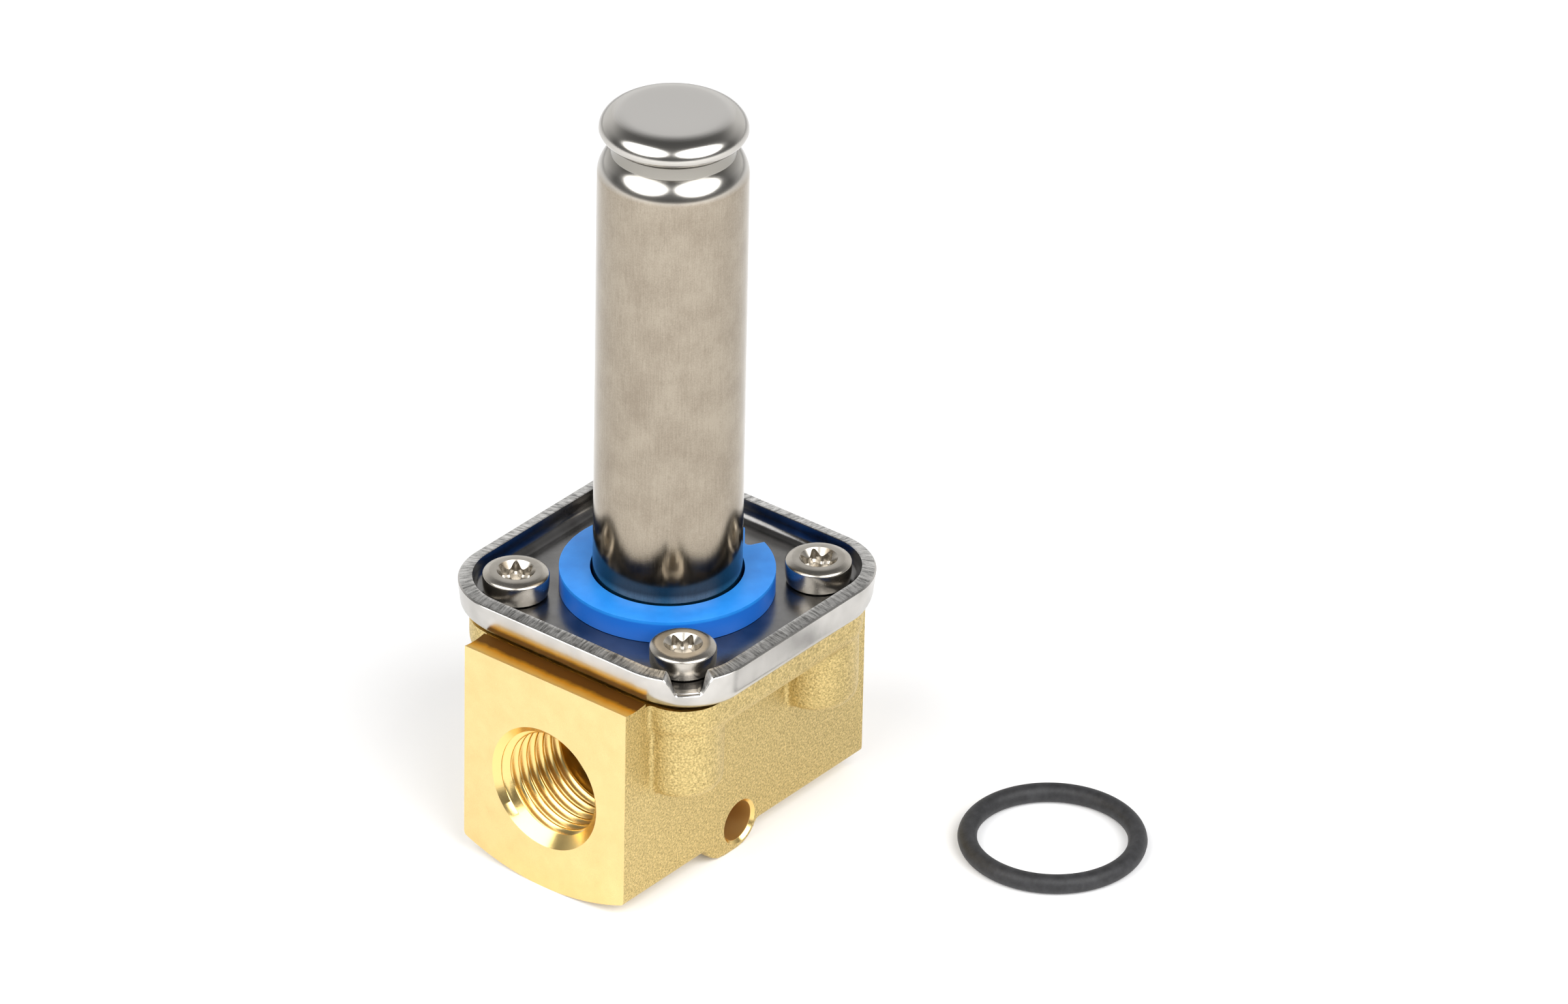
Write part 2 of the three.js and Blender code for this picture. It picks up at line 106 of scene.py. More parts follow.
room = bpy.data.worlds.new("studio")
scene.world = room
room.use_nodes = True
room_tree = room.node_tree
direction = put(room_tree, "ShaderNodeTexCoord").outputs["Generated"]
height = put(room_tree, "ShaderNodeSeparateXYZ", {"Vector": direction}).outputs["Z"]
white_sheet = ramp(room_tree, height, [
    (0.0, 1.0), (0.50, 0.95), (0.64, 0.60), (0.76, 0.20), (1.0, 0.12)])
dark_room = ramp(room_tree, height, [
    (0.0, 0.20), (0.15, 0.13), (0.50, 0.16), (0.80, 0.14), (1.0, 0.12)])
level_view = (math.sin(view_azimuth), -math.cos(view_azimuth), 0)
towards = put(room_tree, "ShaderNodeVectorMath",
              {0: direction, 1: level_view}, operation="DOT_PRODUCT").outputs["Value"]
share = put(room_tree, "ShaderNodeMapRange",
            {"Value": towards, "From Min": -0.80, "From Max": -0.15}).outputs["Result"]
room_light = put(room_tree, "ShaderNodeMix", {
    "Factor": share, "A": white_sheet, "B": dark_room}, data_type="RGBA").outputs["Result"]
backdrop = room_tree.nodes["Background"]
room_tree.links.new(room_light, backdrop.inputs["Color"])
backdrop.inputs["Strength"].default_value = 1.0


lamp_aim_height = 30 * mm
lamp_elevation = 40
lamp_distance = 0.85
lamp_width = 1.05
lamp_height = 0.80


def soft_light(name, turn, brightness):
    """A large round-ended soft light, placed by its turn from the camera and aimed at the valve."""
    azimuth = view_azimuth + math.radians(turn)
    rise = math.radians(lamp_elevation)
    away = Vector((
        math.sin(azimuth) * math.cos(rise), -math.cos(azimuth) * math.cos(rise), math.sin(rise)))
    lamp = bpy.data.lights.new(name, "AREA")
    lamp.shape = "ELLIPSE"
    lamp.size = lamp_width
    lamp.size_y = lamp_height
    lamp.energy = brightness * math.pi * lamp_width * lamp_height
    holder = bpy.data.objects.new(name, lamp)
    scene.collection.objects.link(holder)
    holder.location = Vector((0, 0, lamp_aim_height)) + away * lamp_distance
    holder.rotation_mode = "QUATERNION"
    holder.rotation_quaternion = away.to_track_quat("Z", "Y")


soft_light("left_soft_light", -50, 2.9)
soft_light("right_soft_light", 46, 3.4)

table_half = 3.0
table_mesh = bpy.data.meshes.new("table")
table_mesh.from_pydata(
    [(-table_half, -table_half, 0), (table_half, -table_half, 0),
     (table_half, table_half, 0), (-table_half, table_half, 0)], [], [(0, 1, 2, 3)])
table = bpy.data.objects.new("table", table_mesh)
scene.collection.objects.link(table)
table_paint = bpy.data.materials.new("white_table")
table_paint.use_nodes = True
table_shader = table_paint.node_tree.nodes["Principled BSDF"]
table_shader.inputs["Base Color"].default_value = (0.90, 0.90, 0.905, 1)
table_shader.inputs["Roughness"].default_value = 0.8
table_shader.inputs["Specular IOR Level"].default_value = 0.2
table_shader.inputs["Emission Color"].default_value = (1, 1, 1, 1)
table_shader.inputs["Emission Strength"].default_value = 0.12
table_mesh.materials.append(table_paint)


# ---- Brass body ----------------------------------------------------------------------------------
# Hot-stamped brass: a port block with a square flange on top, a boss under each cover screw and
# a cross-drilled lug below. The forging is blasted, then the two port faces, the land, the deck
# and all the holes are machined into it.

face_x = 20.1
block_half = 10.9
block_top = 25.5
port_height = 12.2
underside_radius = 28.0
flange_half = 16.2
flange_corner = 4.9
deck_height = 25.10
deck_half_length = 16.9
screw_reach = 11.3
screw_clearance = 2.3
boss_radius = 4.5
boss_bottom = 13.6
lug_x = -0.8
lug_height = 3.25
lug_radius = 3.25
lug_foot_x = -3.2
lug_hole = 2.25
lug_chamfer = 0.34


def shape(name, points, faces):
    """A mesh piece from points in millimetres."""
    mesh = bpy.data.meshes.new(name)
    mesh.from_pydata([Vector(p) * mm for p in points], [], faces)
    mesh.update()
    piece = bpy.data.objects.new(name, mesh)
    scene.collection.objects.link(piece)
    return piece


def rounded(corners, closed=True, steps=6):
    """Outline through corners of (u, v, radius), each corner turned into an arc."""
    outline = []
    count = len(corners)
    for i, (u, v, radius) in enumerate(corners):
        here = Vector((u, v))
        inner = closed or 0 < i < count - 1
        if not radius or not inner:
            outline.append((u, v))
            continue
        before = (Vector(corners[i - 1][:2]) - here).normalized()
        after = (Vector(corners[(i + 1) % count][:2]) - here).normalized()
        half_angle = before.angle(after) / 2
        start = here + before * (radius / math.tan(half_angle))
        centre = here + (before + after).normalized() * (radius / math.sin(half_angle))
        end = here + after * (radius / math.tan(half_angle))
        first = start - centre
        swing = first.angle_signed(end - centre)
        for step in range(steps + 1):
            turn = -swing * step / steps
            outline.append((
                centre.x + first.x * math.cos(turn) - first.y * math.sin(turn),
                centre.y + first.x * math.sin(turn) + first.y * math.cos(turn)))
    return outline


def turned(name, profile, steps=160, ring=False):
    """A piece turned about Z from (radius, height) points; ring closes the profile on itself."""
    points, loops = [], []
    for radius, z in profile:
        if radius < 1e-9:
            loops.append([len(points)] * steps)
            points.append((0, 0, z))
            continue
        loops.append(list(range(len(points), len(points) + steps)))
        for step in range(steps):
            angle = 2 * math.pi * step / steps
            points.append((radius * math.cos(angle), radius * math.sin(angle), z))
    pairs = list(zip(loops, loops[1:])) + ([(loops[-1], loops[0])] if ring else [])
    faces = []
    for low, high in pairs:
        for step in range(steps):
            after = (step + 1) % steps
            corners = [low[step], low[after], high[after], high[step]]
            face = list(dict.fromkeys(corners))
            if len(face) > 2:
                faces.append(face)
    return shape(name, points, faces)


def swept(name, outline, start, end, axis):
    """A solid bar of the given outline between two places along an axis."""
    places = {
        "X": lambda u, v, w: (w, u, v), "Y": lambda u, v, w: (v, w, u), "Z": lambda u, v, w: (u, v, w)}
    count = len(outline)
    points = [places[axis](u, v, w) for w in (start, end) for u, v in outline]
    sides = [(i, (i + 1) % count, count + (i + 1) % count, count + i) for i in range(count)]
    lids = [tuple(range(count))[::-1], tuple(range(count, 2 * count))]
    return shape(name, points, sides + lids)


def moved(piece, matrix):
    piece.data.transform(matrix)
    piece.data.update()
    return piece


def shift(x, y, z):
    return Matrix.Translation(Vector((x, y, z)) * mm)


def settled(piece):
    """Makes the modifiers' result the piece's own mesh."""
    bpy.context.view_layer.update()
    graph = bpy.context.evaluated_depsgraph_get()
    mesh = bpy.data.meshes.new_from_object(piece.evaluated_get(graph))
    piece.modifiers.clear()
    piece.data = mesh
    return piece


def outward(piece):
    """Turns the faces of a closed piece outwards."""
    work = bmesh.new()
    work.from_mesh(piece.data)
    bmesh.ops.recalc_face_normals(work, faces=work.faces)
    if work.calc_volume(signed=True) < 0:
        bmesh.ops.reverse_faces(work, faces=work.faces)
    work.to_mesh(piece.data)
    work.free()
    return piece


def cut(piece, *tools):
    """Machines the tools out of the piece and clears them away."""
    for tool in tools:
        saw = piece.modifiers.new("cut", "BOOLEAN")
        saw.operation = "DIFFERENCE"
        saw.solver = "MANIFOLD"
        saw.object = outward(tool)
    settled(piece)
    for tool in tools:
        bpy.data.objects.remove(tool)
    return piece


def smooth(piece, angle=32):
    """Smooth shading, with a sharp line wherever two faces meet at more than the angle."""
    piece.data.shade_smooth()
    piece.data.set_sharp_from_angle(angle=math.radians(angle))
    return piece


def port_block():
    """The bar between the two port faces, with its shallow arched underside."""
    outline = [(block_half, block_top + 1), (-block_half, block_top + 1)]
    for step in range(25):
        y = -block_half + 2 * block_half * step / 24
        outline.append((y, underside_radius - math.sqrt(underside_radius ** 2 - y ** 2)))
    return swept("port_block", outline, -face_x - 1.5, face_x + 1.5, "X")


def lug():
    """The cross-drilled lug, drawn out towards the inlet."""
    outline = []
    for centre, start in ((lug_x, -90), (lug_foot_x, 90)):
        for step in range(25):
            angle = math.radians(start + 180 * step / 24)
            outline.append((lug_height + lug_radius * math.sin(angle),
                            centre + lug_radius * math.cos(angle)))
    return swept("lug", outline, -block_half, block_half, "Y")


def flange_profile(half, corner):
    square = [(half, half), (-half, half), (-half, -half), (half, -half)]
    return rounded([(x, y, corner) for x, y in square], steps=12)


def flange():
    """The square flange, tapered underneath so that it leaves the die."""
    layers = [(5.2, 18.3), (3.5, 19.3), (1.9, 20.6), (0.7, 21.4), (0.1, 22.2), (0, 23.0),
              (0, deck_height + 1.5)]
    outlines = [flange_profile(flange_half - inset, max(0.5, flange_corner - inset))
                for inset, z in layers]
    count = len(outlines[0])
    points = [(x, y, z) for outline, (inset, z) in zip(outlines, layers)
              for x, y in outline]
    faces = [tuple(range(count))[::-1]]
    for row in range(len(layers) - 1):
        for i in range(count):
            after = (i + 1) % count
            faces.append((row * count + i, row * count + after,
                          (row + 1) * count + after, (row + 1) * count + i))
    top = (len(layers) - 1) * count
    faces.append(tuple(range(top, top + count)))
    return shape("flange", points, faces)


def forging():
    """The blank: every part of it run together and blended, as the die leaves it."""
    boss = rounded([(0, boss_bottom, 0), (boss_radius, boss_bottom, 1.6),
                    (boss_radius, deck_height, 0), (0, deck_height, 0)], closed=False)
    parts = [port_block(), flange()]
    for x in (-screw_reach, screw_reach):
        for y in (-screw_reach, screw_reach):
            parts.append(moved(turned("boss", boss, 48), shift(x, y, 0)))
    parts.append(lug())
    for part in parts:
        outward(part)
    blank = parts[0]
    for part in parts[1:]:
        union = blank.modifiers.new("join", "BOOLEAN")
        union.operation = "UNION"
        union.solver = "MANIFOLD"
        union.object = part
    settled(blank)
    for part in parts[1:]:
        bpy.data.objects.remove(part)
    skin = blank.modifiers.new("skin", "REMESH")
    skin.mode = "VOXEL"
    skin.voxel_size = 0.2 * mm
    blend = blank.modifiers.new("blend", "SMOOTH")
    blend.factor = 0.5
    blend.iterations = 16
    return settled(blank)


thread_minor = 11.445 / 2
thread_major = 13.157 / 2
thread_pitch = 1.337
port_depth = 11.0
mouth_radius = 7.08
passage_radius = 3.6


def threaded_plug():
    """The tap's path along +X: a right-hand helix, as a solid."""
    around, rows, turns = 96, 18, 9
    crest_share = 0.85
    start = face_x - port_depth + 0.2
    forms = []
    for row in range(rows):
        slope = abs(2 * row / rows - 1)
        eased = 0.5 - 0.5 * math.cos(math.pi * slope)
        forms.append(thread_minor + (thread_major - thread_minor) * crest_share * eased)
    points, faces = [], []
    levels = rows * turns + 1
    for level in range(levels):
        radius = forms[level % rows]
        for step in range(around + 1):
            angle = 2 * math.pi * step / around
            x = start + thread_pitch * (level / rows + step / around)
            points.append((x, radius * math.cos(angle), radius * math.sin(angle)))
    seam = {}
    for level in range(levels):
        twin = level + rows
        if twin < levels:
            seam[level * (around + 1) + around] = twin * (around + 1)

    def corner(level, step):
        index = level * (around + 1) + step
        return seam.get(index, index)

    for level in range(levels - 1):
        for step in range(around):
            faces.append((corner(level, step), corner(level, step + 1),
                          corner(level + 1, step + 1), corner(level + 1, step)))
    first = [corner(0, step) for step in range(around + 1)]
    first += [corner(level, 0) for level in range(rows - 1, 0, -1)]
    last = [corner(levels - 1, step) for step in range(around + 1)]
    last += [corner(level, around) for level in range(levels - 2, levels - 1 - rows, -1)]
    for loop, x in ((first, start - 0.4), (last, start + thread_pitch * (turns + 1) + 0.4)):
        hub = len(points)
        points.append((x, 0, 0))
        for a, b in zip(loop, loop[1:] + loop[:1]):
            faces.append((a, b, hub))
    return shape("threaded_plug", points, faces)


def along_x(piece):
    return moved(piece, Matrix.Rotation(math.pi / 2, 4, "Y"))


def port_tools(side):
    """Everything cut at one port: chamfer, bore with its cone, and thread."""
    over = 1.0
    chamfer_foot = face_x - (mouth_radius - thread_minor) - 0.2
    chamfer = along_x(turned("chamfer", [
        (0, chamfer_foot), (thread_minor - 0.2, chamfer_foot),
        (mouth_radius + over, face_x + over), (0, face_x + over)], 192))
    bore = along_x(turned("bore", [
        (0, face_x - port_depth - 1.3), (passage_radius, face_x - port_depth - 1.3),
        (thread_minor - 0.01, face_x - port_depth), (thread_minor - 0.01, face_x + over),
        (0, face_x + over)], 128))
    tools = [chamfer, bore, threaded_plug()]
    turn = Matrix.Rotation(0 if side > 0 else math.pi, 4, "Z")
    for tool in tools:
        moved(tool, shift(0, 0, port_height) @ turn)
    return tools


def plain_drill(radius, bottom, top, x=0.0, y=0.0, steps=64):
    drill = turned("drill", [(0, bottom), (radius, bottom), (radius, top), (0, top)], steps)
    return moved(drill, shift(x, y, 0))


def block_tool(x0, x1, y0, y1, z0, z1):
    outline = [(x0, y0), (x1, y0), (x1, y1), (x0, y1)]
    return swept("block_tool", outline, z0, z1, "Z")


def brass_body():
    body = forging()
    far = 35
    cut(body, block_tool(face_x, far, -far, far, -far, far),
        block_tool(-far, -face_x, -far, far, -far, far),
        block_tool(-far, far, -far, far, block_top, far))
    cut(body, block_tool(-deck_half_length, deck_half_length, -far, far, deck_height, far))
    land_radius, land_dip, land_x = 9.0, 0.16, 18.6
    for side in (-1, 1):
        land = turned("land", [(0, -20), (land_radius, -20), (land_radius, 20), (0, 20)], 360)
        turn = Matrix.Rotation(math.pi / 2, 4, "X")
        cut(body, moved(land, shift(side * land_x, 0, block_top - land_dip + land_radius) @ turn))
    for side in (-1, 1):
        cut(body, *port_tools(side))
    chamber = turned("chamber", [
        (0, 20.6), (4.6, 20.6), (4.6, 17.2), (8.8, 17.2), (8.8, 21.8), (10.2, 21.8),
        (10.2, 23.25), (12.5, 23.25), (12.5, 26), (0, 26)], 128)
    inlet = along_x(plain_drill(passage_radius, -10.2, -6.2))
    outlet = along_x(plain_drill(passage_radius, -3.2, 10.2))
    for passage in (inlet, outlet):
        moved(passage, shift(0, 0, port_height))
    cut(body, chamber, inlet, outlet, plain_drill(3.2, port_height, 21),
        plain_drill(2.3, port_height, 17.7, -7.2))
    screw_holes = [
        plain_drill(screw_clearance, 14.5, 27, x, y)
        for x in (-screw_reach, screw_reach) for y in (-screw_reach, screw_reach)]
    cross = rounded([
        (0, -block_half - 1, 0), (lug_hole + lug_chamfer + 1, -block_half - 1, 0),
        (lug_hole, -block_half + lug_chamfer, 0.1), (lug_hole, block_half - lug_chamfer, 0.1),
        (lug_hole + lug_chamfer + 1, block_half + 1, 0), (0, block_half + 1, 0)], closed=False)
    cross_drill = moved(
        turned("cross_drill", cross, 96),
        shift(lug_x, 0, lug_height) @ Matrix.Rotation(math.pi / 2, 4, "X"))
    cut(body, cross_drill, *screw_holes)
    return smooth(body, 30)


def metal(name, colour, roughness):
    """A bare metal finish, and its tree and shader to add grain and wear to."""
    made = bpy.data.materials.new(name)
    made.use_nodes = True
    shader = made.node_tree.nodes["Principled BSDF"]
    shader.inputs["Metallic"].default_value = 1.0
    shader.inputs["Base Color"].default_value = (*colour, 1)
    shader.inputs["Roughness"].default_value = roughness
    return made, made.node_tree, shader


def millimetres(tree, stretch=(1, 1, 1)):
    """The place on the valve, counted in millimetres, drawn out along an axis if asked."""
    place = put(tree, "ShaderNodeTexCoord").outputs["Object"]
    scale = tuple(s / mm for s in stretch)
    return put(tree, "ShaderNodeMapping", {"Vector": place, "Scale": scale}).outputs["Vector"]


def noise(tree, where, per_mm, detail=3.0, rough=0.55):
    made = put(tree, "ShaderNodeTexNoise",
               {"Vector": where, "Scale": per_mm, "Detail": detail, "Roughness": rough})
    return made.outputs["Fac"]


def add(tree, a, b, operation="ADD"):
    return put(tree, "ShaderNodeMath", {0: a, 1: b}, operation=operation).outputs["Value"]


def between(tree, factor, low, high):
    """Runs a value from low to high as the factor goes from 0 to 1."""
    made = put(tree, "ShaderNodeMapRange", {"Value": factor, "To Min": low, "To Max": high})
    return made.outputs["Result"]


def relief(tree, shader, heights, depth, strength=1.0):
    """Raises the surface by a height of 0 to 1 times the depth in millimetres."""
    bump = put(tree, "ShaderNodeBump",
               {"Height": heights, "Distance": depth * mm, "Strength": strength})
    tree.links.new(bump.outputs["Normal"], shader.inputs["Normal"])
    return bump


brass_light = (0.93, 0.70, 0.29)
brass_deep = (0.80, 0.55, 0.18)


def blasted_brass():
    made, tree, shader = metal("blasted_brass", brass_light, 0.42)
    place = millimetres(tree)
    grain = noise(tree, place, 4.6, 4.0, 0.65)
    coarse = noise(tree, place, 1.1, 3.0)
    tone = ramp(tree, grain, [(0.34, (0.37, 0.28, 0.108)), (0.50, (0.60, 0.465, 0.20)),
                              (0.66, (0.83, 0.66, 0.305))])
    tree.links.new(tone, shader.inputs["Base Color"])
    tree.links.new(between(tree, grain, 0.52, 0.34), shader.inputs["Roughness"])
    relief(tree, shader, add(tree, grain, add(tree, coarse, 0.5, "MULTIPLY")), 0.14, 0.8)
    return made


def faced_brass():
    """Fine rings left by the facing tool, about the port's axis."""
    made, tree, shader = metal("faced_brass", brass_light, 0.24)
    place = millimetres(tree)
    parts = put(tree, "ShaderNodeSeparateXYZ", {"Vector": place})
    rise = add(tree, parts.outputs["Z"], port_height, "SUBTRACT")
    flat = put(tree, "ShaderNodeCombineXYZ", {"X": parts.outputs["Y"], "Y": rise}).outputs["Vector"]
    reach = put(tree, "ShaderNodeVectorMath", {0: flat}, operation="LENGTH").outputs["Value"]
    rings = put(tree, "ShaderNodeTexNoise",
                {"W": reach, "Scale": 5.0, "Detail": 4.0}, noise_dimensions="1D").outputs["Fac"]
    cloud = noise(tree, place, 0.35, 3.0)
    speck = noise(tree, place, 9.0, 2.0)
    tone = ramp(tree, cloud, [(0.30, (0.77, 0.560, 0.250)), (0.70, (0.83, 0.615, 0.285))])
    tree.links.new(tone, shader.inputs["Base Color"])
    tree.links.new(between(tree, speck, 0.20, 0.32), shader.inputs["Roughness"])
    relief(tree, shader, rings, 0.006, 0.6)
    return made


def cut_brass():
    """Bright cut surfaces: threads, chamfers and the deck."""
    made, tree, shader = metal("cut_brass", (0.90, 0.66, 0.26), 0.20)
    place = millimetres(tree)
    lines = noise(tree, millimetres(tree, (6, 0.5, 6)), 1.2, 3.0)
    cloud = noise(tree, place, 0.5, 3.0)
    tree.links.new(between(tree, cloud, 0.17, 0.28), shader.inputs["Roughness"])
    relief(tree, shader, lines, 0.004, 0.5)
    return made


def land_brass_painted_shade():
    """The machined strip in front of the cover: orange, then dark brown, the deeper it runs under the
    cover, as painted reflection and painted shade.
    """
    made, tree, shader = metal("land_brass_painted_shade", brass_deep, 0.55)
    place = millimetres(tree)
    parts = put(tree, "ShaderNodeSeparateXYZ", {"Vector": place})
    reach = add(tree, parts.outputs["X"], 0.0, "ABSOLUTE")
    uneven = add(tree, reach, between(tree, noise(tree, place, 0.8, 4.0), -0.35, 0.35))
    depth = put(tree, "ShaderNodeMapRange", {
        "Value": uneven, "From Min": face_x, "From Max": deck_half_length}).outputs["Result"]
    # Painted reflection and painted shade: orange for the brass above it, then dark brown under the
    # cover's edge.
    tone = ramp(tree, depth, [
        (0.0, (0.78, 0.56, 0.22)), (0.16, (0.92, 0.58, 0.13)), (0.40, (0.80, 0.38, 0.03)),
        (0.60, (0.22, 0.10, 0.02))])
    tree.links.new(tone, shader.inputs["Base Color"])
    relief(tree, shader, noise(tree, millimetres(tree, (1, 0.1, 1)), 4.0, 3.0), 0.006, 0.6)
    return made


def drilled_brass():
    """The duller wall that a twist drill leaves in a hole."""
    made, tree, shader = metal("drilled_brass", (0.80, 0.55, 0.23), 0.5)
    turns = noise(tree, millimetres(tree, (1, 6, 1)), 1.0, 3.0)
    relief(tree, shader, turns, 0.02, 0.6)
    return made


body = brass_body()
body.name = "brass_body"
body.data.materials.clear()
for finish in (blasted_brass(), faced_brass(), cut_brass(), drilled_brass(), land_brass_painted_shade()):
    body.data.materials.append(finish)
faced, bright_cut, drilled, land = range(1, 5)
for face in body.data.polygons:
    x, y, z = face.center / mm
    from_port = math.hypot(y, z - port_height)
    if abs(abs(x) - face_x) < 0.01 and abs(face.normal.x) > 0.99:
        face.material_index = faced
    elif from_port < mouth_radius and abs(x) < face_x:
        face.material_index = bright_cut
    elif math.hypot(x - lug_x, z - lug_height) < lug_hole + 0.02:
        face.material_index = drilled
    elif math.hypot(x - lug_x, z - lug_height) < lug_hole + lug_chamfer - 0.06:
        face.material_index = bright_cut
    elif z > deck_height + 0.05 and face.normal.z > 0.9:
        face.material_index = land
    elif z > deck_height - 0.01 and face.normal.z > 0.9:
        face.material_index = bright_cut
    elif math.hypot(x, y) < (12.6 if z > 23.2 else 10.4) and z > 14:
        face.material_index = bright_cut
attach(body, "housing")
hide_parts("valve_body")


# ---- Steel cover ---------------------------------------------------------------------------------
# A thick stainless plate pressed into a shallow tray. Its rim was sheared after pressing, so its
# top is dull and striped across, and it is notched at one corner to let water out.

cover_half = 18.0
cover_corner = 8.1
cover_under = 25.16
cover_floor = 27.66
rim_outer_top = 29.55
rim_inner_top = 29.85
rim_wall = 1.55
rim_lean = math.tan(math.radians(5.5))
thin_edge = 0.45
dish_inset = 3.4
cover_bore = 8.2
foot_recess = 9.7
foot_recess_top = 26.3
notch_floor = 27.72
notch_open = 1.25
notch_shut = 2.85


def cover_columns():
    """Places round the rim: an anchor, the outward direction and the distance from the notch."""
    inner = cover_half - cover_corner
    columns = []
    for quarter in range(4):
        start = math.pi + quarter * math.pi / 2
        notch = quarter == 0
        steps = 110 if notch else 34
        sign_x = -1 if quarter in (0, 3) else 1
        sign_y = -1 if quarter in (0, 1) else 1
        corner = Vector((sign_x * inner, sign_y * inner))
        for step in range(steps + 1):
            angle = start + math.pi / 2 * step / steps
            out = Vector((math.cos(angle), math.sin(angle)))
            away = abs(angle - start - math.pi / 4) * cover_corner if notch else 99
            columns.append((corner, out, away))
        out = Vector((math.cos(start + math.pi / 2), math.sin(start + math.pi / 2)))
        along = Vector((-out.y, out.x))
        for step in range(1, 30):
            columns.append((corner + along * (2 * inner * step / 30), out, 99))
    return columns


def cover_section(out, away):
    """The plate's section at one place as [inset, height], from the underside over the rim."""
    share = min(1, max(0, (away - notch_open) / (notch_shut - notch_open)))
    rim = (0.5 - 0.5 * math.cos(math.pi * share)) ** 0.8
    bend = 2.75 - 1.0 * abs(out.y) ** 6 - 0.4 * abs(2 * out.x * out.y) ** 4
    lip = notch_floor - 0.12
    top_outer = lip + (rim_outer_top - lip) * rim
    top_inner = notch_floor + (rim_inner_top - notch_floor) * rim
    section = []
    for step in range(9):
        turn = math.pi / 2 * step / 8
        inset = bend - bend * math.sin(turn)
        z = cover_under + bend * (1 - math.cos(turn)) * 0.92
        section.append([inset + (rim_outer_top - z) * rim_lean, z])
    last_z = section[-1][1]
    if top_outer < last_z:
        for point in section:
            point[1] = min(point[1], cover_under + (point[1] - cover_under)
                           * (top_outer - cover_under) / (last_z - cover_under))
        last_z = section[-1][1]
    for step in range(1, 5):
        z = last_z + (top_outer - 0.10 - last_z) * step / 4
        section.append([(rim_outer_top - z) * rim_lean, z])
    edge = (rim_outer_top - top_outer) * rim_lean
    inner = thin_edge + edge + (rim_wall - thin_edge - edge) * rim
    section += [
        [edge + 0.05, top_outer - 0.05], [edge + 0.17, top_outer + 0.03],
        [edge + (inner - edge) * 0.35, top_outer + (top_inner - top_outer) * 0.35],
        [edge + (inner - edge) * 0.70, top_outer + (top_inner - top_outer) * 0.72],
        [inner - 0.12, top_inner - 0.01], [inner - 0.03, top_inner - 0.04],
        [inner + 0.02, top_inner - 0.14]]
    drop = top_inner - 0.14 - cover_floor
    for inset, z in ((0.10, 0.62), (0.22, 0.36), (0.45, 0.17), (0.85, 0.04), (1.35, 0.0)):
        section.append([inner + inset, cover_floor + max(0, drop) * z])
    section.append([dish_inset, cover_floor])
    return section


def cover_mesh():
    columns = cover_columns()
    count = len(columns)
    points, rows = [], None
    for corner, out, away in columns:
        section = cover_section(out, away)
        column = [
            (*(corner + out * (cover_corner - inset)), z) for inset, z in section]
        rim_place = corner + out * (cover_corner - dish_inset)
        hub = rim_place.normalized()
        for radius, z in ((cover_bore + 0.15, cover_floor), (cover_bore, cover_floor - 0.15),
                          (cover_bore, foot_recess_top), (foot_recess, foot_recess_top),
                          (foot_recess, cover_under)):
            column.append((*(hub * radius), z))
        rows = len(column)
        points += column
    faces = []
    for i in range(count):
        after = (i + 1) % count
        for row in range(rows):
            above = (row + 1) % rows
            faces.append((i * rows + row, after * rows + row, after * rows + above, i * rows + above))
    return outward(shape("steel_cover", points, faces))


cover = cover_mesh()
cut(cover, *[
    plain_drill(screw_clearance, 24, 29, x, y)
    for x in (-screw_reach, screw_reach) for y in (-screw_reach, screw_reach)])
smooth(cover, 34)


def pressed_steel(name, dark, light):
    """Mill finish that the press has rubbed, with small stains and scratches."""
    made, tree, shader = metal(name, light, 0.22)
    place = millimetres(tree)
    cloud = noise(tree, place, 0.22, 4.0)
    grain = noise(tree, place, 7.0, 3.0)
    rub_wear_and_painted_top_light = noise(tree, millimetres(tree, (1, 1, 0.12)), 3.5, 3.0)
    tree.links.new(ramp(tree, cloud, [(0.32, dark), (0.62, light)]), shader.inputs["Base Color"])
    rough = add(tree, between(tree, cloud, 0.16, 0.28), between(tree, rub_wear_and_painted_top_light, -0.04, 0.06))
    tree.links.new(rough, shader.inputs["Roughness"])
    relief(tree, shader, add(tree, grain, rub_wear_and_painted_top_light), 0.007, 0.6)
    return made


def distance_along_rim(tree, place):
    """How far round the rim a place lies, so that stripes can run straight across the rim."""
    parts = put(tree, "ShaderNodeSeparateXYZ", {"Vector": place})
    straight = cover_half - cover_corner
    far_x = add(tree, parts.outputs["X"], 0.0, "ABSOLUTE")
    far_y = add(tree, parts.outputs["Y"], 0.0, "ABSOLUTE")
    side_x = add(tree, far_x, straight, "MINIMUM")
    side_y = add(tree, far_y, straight, "MINIMUM")
    turn = add(tree, add(tree, far_y, side_y, "SUBTRACT"),
               add(tree, far_x, side_x, "SUBTRACT"), "ARCTAN2")
    return add(tree, add(tree, side_y, side_x, "SUBTRACT"),
               add(tree, turn, cover_corner, "MULTIPLY"))


def sheared_steel():
    """Torn metal on the rim's top, striped across the rim by the shearing tool."""
    made, tree, shader = metal("sheared_steel", (0.34, 0.335, 0.33), 0.34)
    place = millimetres(tree)
    parts = put(tree, "ShaderNodeSeparateXYZ", {"Vector": place})
    across = put(tree, "ShaderNodeCombineXYZ", {
        "X": distance_along_rim(tree, place),
        "Y": add(tree, parts.outputs["X"], 0.16, "MULTIPLY"),
        "Z": add(tree, parts.outputs["Y"], 0.16, "MULTIPLY")}).outputs["Vector"]
    stripe = noise(tree, across, 3.4, 4.0, 0.65)
    fine = noise(tree, place, 8.0, 3.0)
    torn = add(tree, stripe, add(tree, fine, 0.22, "MULTIPLY"))
    tone = ramp(tree, torn, [(0.46, (0.20, 0.197, 0.19)), (0.60, (0.52, 0.51, 0.49)),
                             (0.76, (0.78, 0.765, 0.74))])
    tree.links.new(tone, shader.inputs["Base Color"])
    relief(tree, shader, torn, 0.04, 0.8)
    return made


